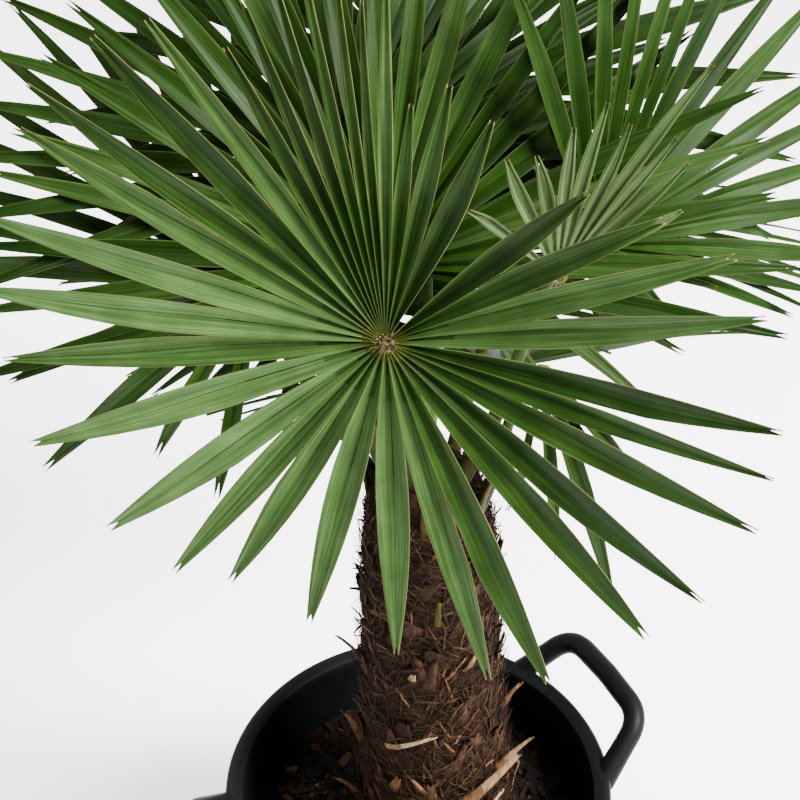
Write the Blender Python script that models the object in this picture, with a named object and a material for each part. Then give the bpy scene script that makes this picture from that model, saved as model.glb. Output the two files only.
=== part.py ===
"""A windmill palm with a short fibrous trunk, growing in a round tub with two loop handles.

Metres, +Z up. The origin is the middle of the tub's flat underside, and the handles lie along X.
Every frond is a slender leaf stalk and a pleated fan: the fan is whole near the stalk's tip and cut
to the rib between its leaflets further out. Fronds are set one after another, and a leaflet that
would touch what already stands there is turned a little, shortened, or left out.
"""

import math
import random
from dataclasses import dataclass

import bmesh
import bpy
from mathutils import Vector
from mathutils.bvhtree import BVHTree

# Tub
TUB_HEIGHT = 0.330
TUB_RIM_RADIUS = 0.200
TUB_FOOT_RADIUS = 0.150
TUB_WALL = 0.005
TUB_FLOOR = 0.006
TUB_SIDES = 40
LIP_WIDTH = 0.020
LIP_DEPTH = 0.026
LIP_ROUND = 0.007

# Loop handles: half widths at foot and corner, corner place, and the tube
HANDLE_FOOT_HALF = 0.085
HANDLE_CORNER_HALF = 0.0645
HANDLE_CORNER_OUT = 0.232
HANDLE_CORNER_RISE = 0.034
HANDLE_FOOT_DROP = 0.014
HANDLE_TUBE_RADIUS = 0.0115
HANDLE_CORNER_ROUND = 0.026
HANDLE_SIDES = 12

# Soil
SOIL_TOP = 0.260
SOIL_EDGE_DROP = 0.006

# Trunk: centre at the soil and at its head, and half widths from the soil to the tip
GAP = 0.0003
TRUNK_FOOT = Vector((0.0156, -0.0090, SOIL_TOP + GAP))
TRUNK_HEAD = Vector((0.0056, -0.0029, 0.740))
TRUNK_RADII = (
    (0.00, 0.084), (0.05, 0.079), (0.16, 0.073), (0.40, 0.067),
    (0.70, 0.063), (0.90, 0.060), (1.00, 0.054), (1.09, 0.036), (1.14, 0.014),
)
TRUNK_SIDES = 20
STUB_ROWS = 7
STUBS_IN_ROW = 4
STUB_LENGTH = 0.030
STUB_WIDTH = 0.026

# Leaf stalks
STALK_FOOT_WIDTH = 0.0085
STALK_TIP_WIDTH = 0.0042
STALK_SIDES = 6
STALK_STEPS = 9
ROOT_SHIFTS = (0, 14, -14, 28, -28, 42, -42, 56, -56)
SWAYS = (0, 0.015, -0.015, 0.03, -0.03)
STALK_CHOICES = [(shift, sway) for shift in ROOT_SHIFTS for sway in SWAYS]

# Crown: the upright axis that the fronds are placed round
CROWN_X = 0.0134
CROWN_Y = -0.0074

# Fans
FAN_THICKNESS = 0.0034
HUB_THICKNESS = 0.0080
SPLIT_AT = 0.40
WIDEST_AT = 0.60
LEAFLET_WIDTH = 0.100
PLEAT_DEPTH = 0.0050
GOLDEN_ANGLE = 137.508
LIFTS = (0, 3, -3, 6, -6, 10, -10, 15, -15)
LENGTH_CUTS = (1.0, 0.82, 0.66)
CLEARANCE = 0.0012

# Spear: the youngest leaf, still furled
SPEAR_LENGTH = 0.15
SPEAR_RADIUS = 0.0075


@dataclass(frozen=True)
class Frond:
    """One leaf: where its hub stands round the crown, and how its fan is turned.

    Its leaflets are spread evenly, or leaves gives the heading and length of each.
    """

    name: str
    azimuth: float
    reach: float
    height: float
    facing: float
    lift: float
    swing: float = 0.0
    length: float = 0.31
    spread: float = 165.0
    leaflets: int = 30
    cup: float = 5.0
    sag: float = 0.015
    leaves: tuple = ()


def evenly(first, last, step, length):
    """Leaflets of one length at even headings."""
    return tuple((heading, length) for heading in range(first, last, step))


# Leaflets as headings in degrees from the fan's middle and lengths in metres
FRONT_LEAVES = (
    (-176, 0.221), (-167, 0.235), (-161, 0.212), (-156, 0.309), (-152, 0.286), (-149, 0.309),
    (-145, 0.310), (-141, 0.303), (-136, 0.291), (-131, 0.260), (-123, 0.299), (-114, 0.309),
    (-102, 0.317), (-94, 0.305), (-78, 0.318), (-65, 0.322), (-54, 0.309), (-38, 0.321),
    (-21, 0.315), (-10, 0.308), (-1, 0.285), (13, 0.288), (29, 0.298), (43, 0.319), (51, 0.329),
    (70, 0.313), (80, 0.312), (96, 0.305), (106, 0.299), (114, 0.296), (133, 0.288),
    (144, 0.282), (154, 0.250), (164, 0.218),
)
LEFT_LEAVES = evenly(-140, -35, 10, 0.210) + evenly(-35, 0, 10, 0.300) + (
    (2, 0.36), (10, 0.35), (19, 0.34), (27, 0.33), (37, 0.32), (45, 0.29), (53, 0.31),
    (77, 0.254), (94, 0.271), (109, 0.197), (127, 0.208),
)
RIGHT_LEAVES = (
    (-58, 0.235), (-52, 0.26), (-44, 0.30), (-33, 0.32), (-24, 0.31), (-15, 0.33), (-7, 0.32),
    (7, 0.33), (16, 0.32), (26, 0.33), (33, 0.31), (40, 0.32), (48, 0.31), (56, 0.32),
    (66, 0.30), (76, 0.28),
)
YOUNG_LEAVES = (
    (-51, 0.116), (-38, 0.150), (-30, 0.164), (-24, 0.240), (-18, 0.159), (-8, 0.174), (-1, 0.147),
    (9, 0.121), (22, 0.125), (44, 0.100),
)
RIGHT_LOW_LEAVES = ((-45, 0.120), (-26, 0.170), (-12, 0.231), (9, 0.152), (33, 0.125))
BACK_RIGHT_LEAVES = ((-134, 0.27), (-123, 0.19)) + evenly(-104, 166, 9, 0.310)
BACK_LEFT_LEAVES = evenly(-160, 36, 9, 0.310) + evenly(48, 160, 12, 0.220)
BACK_LOW_LEAVES = evenly(-72, 160, 9, 0.310)
LEFT_TOP_LEAVES = evenly(-150, 98, 9, 0.320)

# The fronds from the front round both sides to the back, then the low ones behind
FRONDS = (
    Frond("front", -136.7, 0.157, 1.054, -135.4, -86, swing=-24.5, sag=0.0, leaves=FRONT_LEAVES),
    Frond("right", -4.7, 0.146, 0.980, -84, -72, swing=115, length=0.32, sag=0.03, leaves=RIGHT_LEAVES),
    Frond("top", 128, 0.050, 0.992, 65, 55, length=0.34, spread=104, leaflets=23),
    Frond("young", -59, 0.102, 1.037, 60, 82, length=0.19, cup=10, leaves=YOUNG_LEAVES),
    Frond("back_top", 62, 0.206, 1.039, 65, 40, length=0.33, leaflets=28),
    Frond("left_low", 116, 0.194, 0.900, 108, 32, length=0.32, sag=0.03, leaves=LEFT_LEAVES),
    Frond("left_top", 100, 0.128, 1.031, 80, 36, length=0.32, leaves=LEFT_TOP_LEAVES),
    Frond("right_low", -55, 0.092, 0.926, -94, -81, swing=27, length=0.20, sag=0.03,
          leaves=RIGHT_LOW_LEAVES),
    Frond("back_right", 43, 0.276, 0.868, 40, -19, sag=0.04, leaves=BACK_RIGHT_LEAVES),
    Frond("back_left", 83, 0.263, 0.789, 99, -13, sag=0.04, leaves=BACK_LEFT_LEAVES),
    Frond("back_low", 44, 0.264, 0.681, 69, -32, sag=0.04, leaves=BACK_LOW_LEAVES),
)


def remove_everything():
    """Empty the scene."""
    for item in list(bpy.data.objects):
        bpy.data.objects.remove(item, do_unlink=True)


def finish(name, colour, roughness):
    """A plain coating with one colour and roughness."""
    material = bpy.data.materials.new(name)
    material.use_nodes = True
    shader = material.node_tree.nodes["Principled BSDF"]
    shader.inputs["Base Color"].default_value = (*colour, 1.0)
    shader.inputs["Roughness"].default_value = roughness
    shader.inputs["Metallic"].default_value = 0.0
    return material


def add_object(name, mesh, material=None):
    """Link a mesh to the scene as a named object."""
    item = bpy.data.objects.new(name, mesh)
    bpy.context.scene.collection.objects.link(item)
    if material:
        mesh.materials.append(material)
    return item


def mesh_from(verts, faces, name):
    """A mesh from points and faces, turned outward and shaded smooth with sharp creases kept."""
    mesh = bpy.data.meshes.new(name)
    mesh.from_pydata([tuple(v) for v in verts], [], faces)
    bm = bmesh.new()
    bm.from_mesh(mesh)
    bmesh.ops.recalc_face_normals(bm, faces=bm.faces)
    bm.to_mesh(mesh)
    bm.free()
    mesh.shade_smooth()
    mesh.set_sharp_from_angle(angle=math.radians(38))
    return mesh


def turned(name, profile, sides):
    """A closed body turned about the upright axis from a profile that starts and ends on it."""
    bm = bmesh.new()
    verts = [bm.verts.new((radius, 0.0, z)) for radius, z in profile]
    edges = [bm.edges.new(pair) for pair in zip(verts, verts[1:])]
    bmesh.ops.spin(bm, geom=verts + edges, axis=(0, 0, 1), cent=(0, 0, 0),
                   angle=2 * math.pi, steps=sides, use_merge=True)
    bmesh.ops.remove_doubles(bm, verts=bm.verts, dist=1e-5)
    bmesh.ops.recalc_face_normals(bm, faces=bm.faces)
    mesh = bpy.data.meshes.new(name)
    bm.to_mesh(mesh)
    bm.free()
    mesh.shade_smooth()
    mesh.set_sharp_from_angle(angle=math.radians(38))
    return mesh


def swept(name, points, radii, sides, flat=1.0, up=Vector((0, 0, 1))):
    """A closed tube through points, its section a polygon that may be flattened along its side."""
    verts, faces = [], []
    last = len(points) - 1
    for step, (point, radius) in enumerate(zip(points, radii)):
        tangent = (points[min(step + 1, last)] - points[max(step - 1, 0)]).normalized()
        side = tangent.cross(up).normalized()
        front = side.cross(tangent)
        for corner in range(sides):
            angle = 2 * math.pi * (corner + 0.5) / sides
            across = side * (radius * math.cos(angle))
            verts.append(point + across + front * (radius * flat * math.sin(angle)))
    for step in range(last):
        for corner in range(sides):
            here, after = step * sides + corner, step * sides + (corner + 1) % sides
            faces.append((here, after, after + sides, here + sides))
    faces.append(tuple(reversed(range(sides))))
    faces.append(tuple(range(last * sides, (last + 1) * sides)))
    return mesh_from(verts, faces, name)


def bezier(start, lead, tail, end, steps):
    """Evenly timed points on a cubic curve."""
    points = []
    for step in range(steps + 1):
        t = step / steps
        s = 1 - t
        points.append(start * s**3 + lead * (3 * s * s * t) + tail * (3 * s * t * t) + end * t**3)
    return points


def polar(azimuth, reach, height):
    """A point round the crown's upright axis."""
    angle = math.radians(azimuth)
    return Vector((CROWN_X + reach * math.cos(angle), CROWN_Y + reach * math.sin(angle), height))


def wall_radius(height):
    """Outer radius of the tub's wall at a height below its lip."""
    top = TUB_RIM_RADIUS - 0.010
    return TUB_FOOT_RADIUS + (top - TUB_FOOT_RADIUS) * height / (TUB_HEIGHT - LIP_DEPTH)


def build_tub(material):
    """The round tub: one moulded shell with a thick rounded lip."""
    under_lip = TUB_HEIGHT - LIP_DEPTH
    inner = TUB_RIM_RADIUS - LIP_WIDTH
    profile = [
        (0, 0), (TUB_FOOT_RADIUS - 0.010, 0), (TUB_FOOT_RADIUS, 0.008),
        (wall_radius(under_lip), under_lip), (TUB_RIM_RADIUS, under_lip + 0.004),
        (TUB_RIM_RADIUS, TUB_HEIGHT - LIP_ROUND), (TUB_RIM_RADIUS - LIP_ROUND * 0.6, TUB_HEIGHT - 0.0015),
        (TUB_RIM_RADIUS - LIP_WIDTH / 2, TUB_HEIGHT), (inner + 0.003, TUB_HEIGHT - 0.003),
        (inner, TUB_HEIGHT - 0.010), (inner, under_lip),
        (wall_radius(0) - TUB_WALL, TUB_FLOOR), (0, TUB_FLOOR),
    ]
    return add_object("tub", turned("tub", profile, TUB_SIDES), material)


def inside_radius(height):
    """Inner radius of the tub's cavity at a height below the lip."""
    under_lip = TUB_HEIGHT - LIP_DEPTH
    low, high = wall_radius(0) - TUB_WALL, TUB_RIM_RADIUS - LIP_WIDTH
    return low + (high - low) * (height - TUB_FLOOR) / (under_lip - TUB_FLOOR)


def build_soil(material):
    """The potting soil, which fills the tub to some way below its lip."""
    floor = TUB_FLOOR + GAP
    edge = SOIL_TOP - SOIL_EDGE_DROP
    profile = [
        (0, floor), (inside_radius(floor) - 2 * GAP, floor), (inside_radius(edge) - 2 * GAP, edge),
        (inside_radius(edge) - 0.035, SOIL_TOP), (0, SOIL_TOP),
    ]
    return add_object("soil", turned("soil", profile, TUB_SIDES), material)


def handle_path():
    """The loop's middle line, from one foot in the lip round to the other."""
    foot_out = math.sqrt(TUB_RIM_RADIUS**2 - HANDLE_FOOT_HALF**2) - 0.012
    foot = Vector((foot_out, HANDLE_FOOT_HALF, TUB_HEIGHT - HANDLE_FOOT_DROP - 0.004))
    corner = Vector((HANDLE_CORNER_OUT, HANDLE_CORNER_HALF, TUB_HEIGHT + HANDLE_CORNER_RISE))
    middle = Vector((HANDLE_CORNER_OUT + 0.002, 0.0, TUB_HEIGHT + HANDLE_CORNER_RISE + 0.002))
    before = corner + (foot - corner).normalized() * HANDLE_CORNER_ROUND
    after = corner + (middle - corner).normalized() * HANDLE_CORNER_ROUND
    half = [foot, foot.lerp(before, 0.5)]
    for step in range(6):
        t = step / 5
        half.append(before * (1 - t)**2 + corner * (2 * t * (1 - t)) + after * t * t)
    mirrored = [Vector((p.x, -p.y, p.z)) for p in reversed(half)]
    return half + [middle] + mirrored


def build_handles(material):
    """Two loops that rise outwards from the lip, trimmed where they meet it."""
    sleeve = [(0, 0), (TUB_RIM_RADIUS + GAP, 0), (TUB_RIM_RADIUS + GAP, TUB_HEIGHT - LIP_ROUND + GAP),
              (TUB_RIM_RADIUS - LIP_ROUND * 0.6 + GAP, TUB_HEIGHT - 0.0015 + GAP),
              (TUB_RIM_RADIUS - LIP_WIDTH / 2, TUB_HEIGHT + GAP), (0, TUB_HEIGHT + GAP)]
    cutter = add_object("tub_sleeve", turned("tub_sleeve", sleeve, TUB_SIDES))
    cutter.hide_render = True
    cutter.display_type = "WIRE"
    path = handle_path()
    for name, way in (("handle_right", 1), ("handle_left", -1)):
        points = [Vector((p.x * way, p.y * way, p.z)) for p in path]
        radii = [HANDLE_TUBE_RADIUS] * len(points)
        handle = add_object(name, swept(name, points, radii, HANDLE_SIDES), material)
        trim = handle.modifiers.new("trim", "BOOLEAN")
        trim.operation = "DIFFERENCE"
        trim.solver = "EXACT"
        trim.object = cutter


def trunk_centre(share):
    """Middle of the trunk at a share of its height, with its slight lean."""
    return TRUNK_FOOT.lerp(TRUNK_HEAD, share)


def trunk_radius(share):
    """Half width of the trunk at a share of the height from soil to head."""
    for (low, wide), (high, narrow) in zip(TRUNK_RADII, TRUNK_RADII[1:]):
        if share <= high:
            return wide + (narrow - wide) * (share - low) / (high - low)
    return TRUNK_RADII[-1][1]


def trunk_mesh(name, grow):
    """The trunk's leaning, tapering shaft, or the same made thicker all round."""
    verts, faces = [], []
    for share, radius in TRUNK_RADII:
        centre = trunk_centre(share)
        for side in range(TRUNK_SIDES):
            angle = 2 * math.pi * side / TRUNK_SIDES
            out = Vector((math.cos(angle), math.sin(angle), 0))
            verts.append(centre + out * (radius + grow))
    for vertex in verts[-TRUNK_SIDES:]:
        vertex.z += grow
    last = len(TRUNK_RADII) - 1
    for ring in range(last):
        for side in range(TRUNK_SIDES):
            here, after = ring * TRUNK_SIDES + side, ring * TRUNK_SIDES + (side + 1) % TRUNK_SIDES
            faces.append((here, after, after + TRUNK_SIDES, here + TRUNK_SIDES))
    faces.append(tuple(reversed(range(TRUNK_SIDES))))
    faces.append(tuple(range(last * TRUNK_SIDES, (last + 1) * TRUNK_SIDES)))
    return mesh_from(verts, faces, name)


def build_trunk(material, rng):
    """The trunk with its flare and the cut bases of old leaves, joined into one body."""
    trunk = add_object("trunk", trunk_mesh("trunk", 0), material)

    stubs = bpy.data.collections.new("leaf_bases")
    bpy.context.scene.collection.children.link(stubs)
    count = STUB_ROWS * STUBS_IN_ROW
    for index in range(count):
        share = 0.07 + 0.80 * (index + 0.5) / count
        azimuth = math.radians(index * GOLDEN_ANGLE + rng.uniform(-8, 8))
        out = Vector((math.cos(azimuth), math.sin(azimuth), 0))
        side = Vector((-out.y, out.x, 0))
        foot = trunk_centre(share) + out * (trunk_radius(share) - 0.008)
        tip = foot + out * (0.008 + 0.35 * STUB_LENGTH) + Vector((0, 0, STUB_LENGTH))
        lean = (tip - foot).normalized()
        thick = lean.cross(side) * 0.004
        wide, narrow = side * (STUB_WIDTH / 2), side * (STUB_WIDTH / 3)
        corners = [foot + wide + thick, foot - wide + thick, foot - wide - thick, foot + wide - thick,
                   tip + narrow + thick * 0.6, tip - narrow + thick * 0.6,
                   tip - narrow - thick * 0.6, tip + narrow - thick * 0.6]
        sheets = [(0, 1, 2, 3), (7, 6, 5, 4), (0, 4, 5, 1), (1, 5, 6, 2), (2, 6, 7, 3), (3, 7, 4, 0)]
        stub = bpy.data.objects.new(f"leaf_base_{index}", mesh_from(corners, sheets, "leaf_base"))
        stubs.objects.link(stub)
    join = trunk.modifiers.new("join", "BOOLEAN")
    join.operation = "UNION"
    join.solver = "EXACT"
    join.operand_type = "COLLECTION"
    join.collection = stubs
    apply_modifiers(trunk)
    for stub in list(stubs.objects):
        bpy.data.objects.remove(stub, do_unlink=True)
    bpy.data.collections.remove(stubs)
    return trunk


def apply_modifiers(item):
    """Keep the evaluated shape as the object's own mesh."""
    graph = bpy.context.evaluated_depsgraph_get()
    mesh = bpy.data.meshes.new_from_object(item.evaluated_get(graph))
    item.modifiers.clear()
    item.data = mesh


def world_tree(item):
    """A search tree over an object's evaluated faces."""
    graph = bpy.context.evaluated_depsgraph_get()
    mesh = item.evaluated_get(graph).to_mesh()
    verts = [item.matrix_world @ v.co for v in mesh.vertices]
    tree = BVHTree.FromPolygons(verts, [tuple(p.vertices) for p in mesh.polygons])
    low = Vector([min(v[axis] for v in verts) for axis in range(3)])
    high = Vector([max(v[axis] for v in verts) for axis in range(3)])
    return tree, low, high


class Standing:
    """What already stands, for testing whether a new shape touches it."""

    def __init__(self):
        self.trees = []

    def add(self, item):
        """Remember an object."""
        self.trees.append(world_tree(item))

    def touched(self, verts, faces):
        """Whether the shape touches any of the objects."""
        low = Vector([min(v[axis] for v in verts) for axis in range(3)])
        high = Vector([max(v[axis] for v in verts) for axis in range(3)])
        tree = None
        for other, other_low, other_high in self.trees:
            if any(low[a] > other_high[a] or high[a] < other_low[a] for a in range(3)):
                continue
            tree = tree or BVHTree.FromPolygons(verts, faces)
            if tree.overlap(other):
                return True
        return False


class Fan:
    """The fan of one frond, worked out from its hub, its middle heading and its upper face."""

    def __init__(self, frond, rng):
        self.frond = frond
        facing, lift = math.radians(frond.facing), math.radians(frond.lift)
        out = Vector((math.cos(facing), math.sin(facing), 0))
        up = Vector((0, 0, 1))
        middle = out * math.cos(lift) + up * math.sin(lift)
        self.face = up * math.cos(lift) - out * math.sin(lift)
        side = self.face.cross(middle)
        swing = math.radians(frond.swing)
        self.middle = middle * math.cos(swing) + side * math.sin(swing)
        self.side = self.face.cross(self.middle)
        self.hub = polar(frond.azimuth, frond.reach, frond.height)
        self.leaves = frond.leaves or self.even_leaves(rng)
        self.headings = [heading for heading, length in self.leaves]
        self.lengths = [length for heading, length in self.leaves]
        self.ridges = self.ridge_headings()

    def even_leaves(self, rng):
        """Leaflets spread over the fan with a little unevenness, shorter beside the stalk."""
        frond = self.frond
        step = 2 * frond.spread / frond.leaflets
        leaves = []
        for index in range(frond.leaflets):
            heading = -frond.spread + step * (index + 0.5 + rng.uniform(-0.16, 0.16))
            beside_stalk = max(0.0, abs(heading) - 105) / 70
            share = (1 - 0.38 * beside_stalk**1.4) * rng.uniform(0.94, 1.02)
            leaves.append((heading, frond.length * share))
        return leaves

    def ridge_headings(self):
        """The ridges lie half way between leaflets, and one more beyond each end."""
        h = self.headings
        inner = [(a + b) / 2 for a, b in zip(h, h[1:])]
        return [1.5 * h[0] - 0.5 * h[1]] + inner + [1.5 * h[-1] - 0.5 * h[-2]]

    def place(self, heading, radius, bend=0.0, height=0.0, across=0.0):
        """A point on the fan: out along a heading, raised by its cup and lowered by its weight."""
        frond = self.frond
        angle = math.radians(heading)
        along = self.middle * math.cos(angle) + self.side * math.sin(angle)
        aside = self.side * math.cos(angle) - self.middle * math.sin(angle)
        split = SPLIT_AT * frond.length
        raised = radius * math.tan(math.radians(frond.cup))
        raised += max(0.0, radius - split) * math.tan(math.radians(bend))
        lowered = frond.sag * (radius / frond.length)**2
        point = self.hub + along * radius + aside * across + self.face * (raised + height)
        return point - Vector((0, 0, lowered))

    def leaflet(self, index, bend, cut, grow=0.0):
        """Corner points of one free leaflet, and its faces, for a turn and a shortening."""
        heading, length = self.headings[index], self.lengths[index] * cut
        left, right = self.ridges[index], self.ridges[index + 1]
        split, widest = SPLIT_AT * self.frond.length, WIDEST_AT * length
        room = math.radians(right - left) * widest * 0.90
        half = min(LEAFLET_WIDTH * self.lengths[index], room) / 2 + grow
        thick = FAN_THICKNESS + 2 * grow
        top = grow
        points = [
            self.place(left, split, 0, top), self.place(left, split, 0, top - thick),
            self.place(heading, split, 0, top - PLEAT_DEPTH),
            self.place(heading, split, 0, top - PLEAT_DEPTH - thick),
            self.place(right, split, 0, top), self.place(right, split, 0, top - thick),
            self.place(heading, widest, bend, top, -half),
            self.place(heading, widest, bend, top - PLEAT_DEPTH),
            self.place(heading, widest, bend, top - PLEAT_DEPTH - thick),
            self.place(heading, widest, bend, top, half),
            self.place(heading, length + 2 * grow, bend, top - PLEAT_DEPTH / 2 - thick / 2),
        ]
        return points

    LEAFLET_FACES = (
        (0, 2, 7, 6), (2, 4, 9, 7), (1, 6, 8, 3), (3, 8, 9, 5),
        (0, 6, 1), (4, 5, 9), (6, 7, 10), (7, 9, 10), (6, 10, 8), (8, 10, 9),
    )
    END_FACES = ((0, 1, 3, 2), (2, 3, 5, 4))

    def build(self, standing, material):
        """The fan as one closed body, its leaflets kept clear of what stands."""
        top = self.hub
        bottom = self.hub - self.face * HUB_THICKNESS
        verts, faces = [top, bottom], []
        split = SPLIT_AT * self.frond.length
        for ridge in self.ridges:
            verts.append(self.place(ridge, split))
            verts.append(self.place(ridge, split, 0, -FAN_THICKNESS))
        valley = len(verts)
        for heading in self.headings:
            verts.append(self.place(heading, split, 0, -PLEAT_DEPTH))
            verts.append(self.place(heading, split, 0, -PLEAT_DEPTH - FAN_THICKNESS))
        for index in range(len(self.headings)):
            left, right, mid = 2 + 2 * index, 4 + 2 * index, valley + 2 * index
            faces += [(0, left, mid), (0, mid, right), (1, mid + 1, left + 1), (1, right + 1, mid + 1)]
        last = 2 + 2 * len(self.headings)
        faces += [(0, 1, 3, 2), (0, last, last + 1, 1)]
        for index in range(len(self.headings)):
            corners = [2 + 2 * index, 3 + 2 * index, valley + 2 * index, valley + 2 * index + 1,
                       4 + 2 * index, 5 + 2 * index]
            choice = self.free_choice(index, standing)
            if choice is None:
                faces += [tuple(corners[i] for i in face) for face in self.END_FACES]
                continue
            points = self.leaflet(index, *choice)
            corners += list(range(len(verts), len(verts) + 5))
            verts += points[6:]
            faces += [tuple(corners[i] for i in face) for face in self.LEAFLET_FACES]
        name = f"fan_{self.frond.name}"
        return add_object(name, mesh_from(verts, faces, name), material)

    def free_choice(self, index, standing):
        """The smallest turn and shortening at which a leaflet touches nothing."""
        for cut in LENGTH_CUTS:
            for bend in LIFTS:
                points = self.leaflet(index, bend, cut, CLEARANCE)
                if not standing.touched(points, self.LEAFLET_FACES + self.END_FACES):
                    return bend, cut
        return None


def stalk_points(fan, root_azimuth, root_height, sway):
    """The stalk's curve: up out of the trunk, then over to the hub's underside."""
    share = (root_height - TRUNK_FOOT.z) / (TRUNK_HEAD.z - TRUNK_FOOT.z)
    out = polar(root_azimuth, 1.0, 0) - polar(root_azimuth, 0.0, 0)
    inside = trunk_centre(share) + out * (trunk_radius(share) * 0.55)
    tip = fan.hub - fan.face * (HUB_THICKNESS + GAP)
    span = (tip - inside).length
    side = Vector((-out.y, out.x, 0)).normalized()
    lead = inside + (Vector((0, 0, 1)) * 0.80 + out * 0.45) * (0.42 * span) + side * sway
    arrive = ((tip - inside).normalized() + fan.face * 0.6).normalized()
    tail = tip - arrive * (0.30 * span) + side * sway
    return bezier(inside, lead, tail, tip, STALK_STEPS)


def build_stalk(fan, root_azimuth, root_height, standing, sleeve, material):
    """The stalk as a tapering body, trimmed at the trunk and level with the hub's underside."""
    for shift, sway in STALK_CHOICES:
        points = stalk_points(fan, root_azimuth + shift, root_height, sway)
        fat = stalk_mesh(fan, points[2:], CLEARANCE / 2)
        verts = [v.co.copy() for v in fat.vertices]
        touched = standing.touched(verts, [tuple(p.vertices) for p in fat.polygons])
        bpy.data.meshes.remove(fat)
        if not touched:
            break
    name = f"stalk_{fan.frond.name}"
    stalk = add_object(name, stalk_mesh(fan, points, 0), material)
    trim = stalk.modifiers.new("trim", "BOOLEAN")
    trim.operation = "DIFFERENCE"
    trim.solver = "EXACT"
    trim.object = sleeve
    return stalk


def stalk_mesh(fan, points, grow):
    """A tapering six-sided tube whose last ring lies level with the hub's underside."""
    radii = []
    for step in range(len(points)):
        t = step / (len(points) - 1)
        radii.append(STALK_TIP_WIDTH + (STALK_FOOT_WIDTH - STALK_TIP_WIDTH) * (1 - t)**1.3 + grow)
    radii[-1] = STALK_TIP_WIDTH
    mesh = swept("stalk", points, radii, STALK_SIDES, flat=0.75, up=fan.side.cross(Vector((0, 0, 1))))
    for vertex in list(mesh.vertices)[-STALK_SIDES:]:
        off = vertex.co - points[-1]
        vertex.co = points[-1] + off - fan.face * off.dot(fan.face)
    return mesh


def build_spear(material):
    """The furled youngest leaf, upright in the middle of the crown."""
    foot = trunk_centre(TRUNK_RADII[-1][0]) + Vector((0, 0, GAP))
    points = [foot + Vector((0.010 * t * t, -0.006 * t, SPEAR_LENGTH * t)) for t in
              (0, 0.15, 0.4, 0.65, 0.85, 1.0)]
    radii = [SPEAR_RADIUS * k for k in (0.8, 0.9, 1.0, 0.9, 0.6, 0.12)]
    return add_object("spear", swept("spear", points, radii, STALK_SIDES, up=Vector((1, 0, 0))), material)


def build_crown(trunk, sleeve, leaf, stalk_finish):
    """Every frond with its stalk, and the spear."""
    standing = Standing()
    standing.add(trunk)
    spear = build_spear(leaf)
    standing.add(spear)
    for index, frond in enumerate(FRONDS):
        rng = random.Random(100 + index)
        fan = Fan(frond, rng)
        root_height = TRUNK_HEAD.z - 0.055 + 0.10 * (frond.height - 0.87) / 0.2
        stalk = build_stalk(fan, frond.azimuth, root_height, standing, sleeve, stalk_finish)
        standing.add(stalk)
        blade = fan.build(standing, leaf)
        standing.add(blade)


def main():
    """Build the palm in its tub."""
    remove_everything()
    rng = random.Random(7)
    black = finish("tub_plastic", (0.018, 0.020, 0.022), 0.5)
    brown = finish("trunk_fibre", (0.12, 0.066, 0.036), 0.9)
    earth = finish("soil", (0.045, 0.028, 0.018), 0.95)
    green = finish("leaf", (0.060, 0.150, 0.030), 0.45)
    stalk_green = finish("stalk", (0.110, 0.170, 0.040), 0.5)
    build_tub(black)
    build_soil(earth)
    build_handles(black)
    trunk = build_trunk(brown, rng)
    sleeve = add_object("trunk_sleeve", trunk_mesh("trunk_sleeve", 1.4 * GAP))
    sleeve.hide_render = True
    sleeve.display_type = "WIRE"
    build_crown(trunk, sleeve, green, stalk_green)


main()
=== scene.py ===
"""Looks of a potted windmill palm: fine leaflets, fibrous trunk, potting soil and a black tub.

Metres, +Z up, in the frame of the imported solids. The camera stands where the photograph was taken,
a little above the crown, with the tub's handles along X.
"""

import logging
import math
import random
from dataclasses import dataclass, field
from enum import Enum

import bmesh
import bpy
from mathutils import Matrix, Quaternion, Vector, kdtree, noise


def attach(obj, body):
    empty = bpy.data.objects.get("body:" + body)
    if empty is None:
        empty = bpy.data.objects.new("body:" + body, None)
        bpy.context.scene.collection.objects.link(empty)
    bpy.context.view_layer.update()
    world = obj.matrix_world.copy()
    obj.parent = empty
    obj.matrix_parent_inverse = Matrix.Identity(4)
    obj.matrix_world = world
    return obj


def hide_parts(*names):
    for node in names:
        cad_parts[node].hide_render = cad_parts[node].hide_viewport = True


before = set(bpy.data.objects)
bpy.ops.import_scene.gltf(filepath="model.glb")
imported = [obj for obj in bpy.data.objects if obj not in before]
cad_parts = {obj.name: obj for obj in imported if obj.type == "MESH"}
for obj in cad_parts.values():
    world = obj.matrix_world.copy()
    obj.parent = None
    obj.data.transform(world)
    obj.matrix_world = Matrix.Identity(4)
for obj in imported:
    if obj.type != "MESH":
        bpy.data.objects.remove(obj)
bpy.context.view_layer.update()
LOG = logging.getLogger("palm")

Colour = tuple[float, float, float]
Leaves = tuple[tuple[float, float], ...]
UP = Vector((0.0, 0.0, 1.0))
BODY = "root"


class Slot(Enum):
    """Material slots of the record."""

    TUB = "tub_plastic"
    SOIL = "soil"
    TRUNK = "trunk_fibre"
    LEAF = "leaf"
    STALK = "stalk"


class Shade(Enum):
    """Tone families that a frond's leaflets are dealt from. The back family is a darker copy of the leaf greens,
    painted shade of the crown, and the front family's greens paint light and shade by the way each leaflet points.
    """

    FRONT = "front"
    BACK = "back"
    YOUNG = "young"


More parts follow.
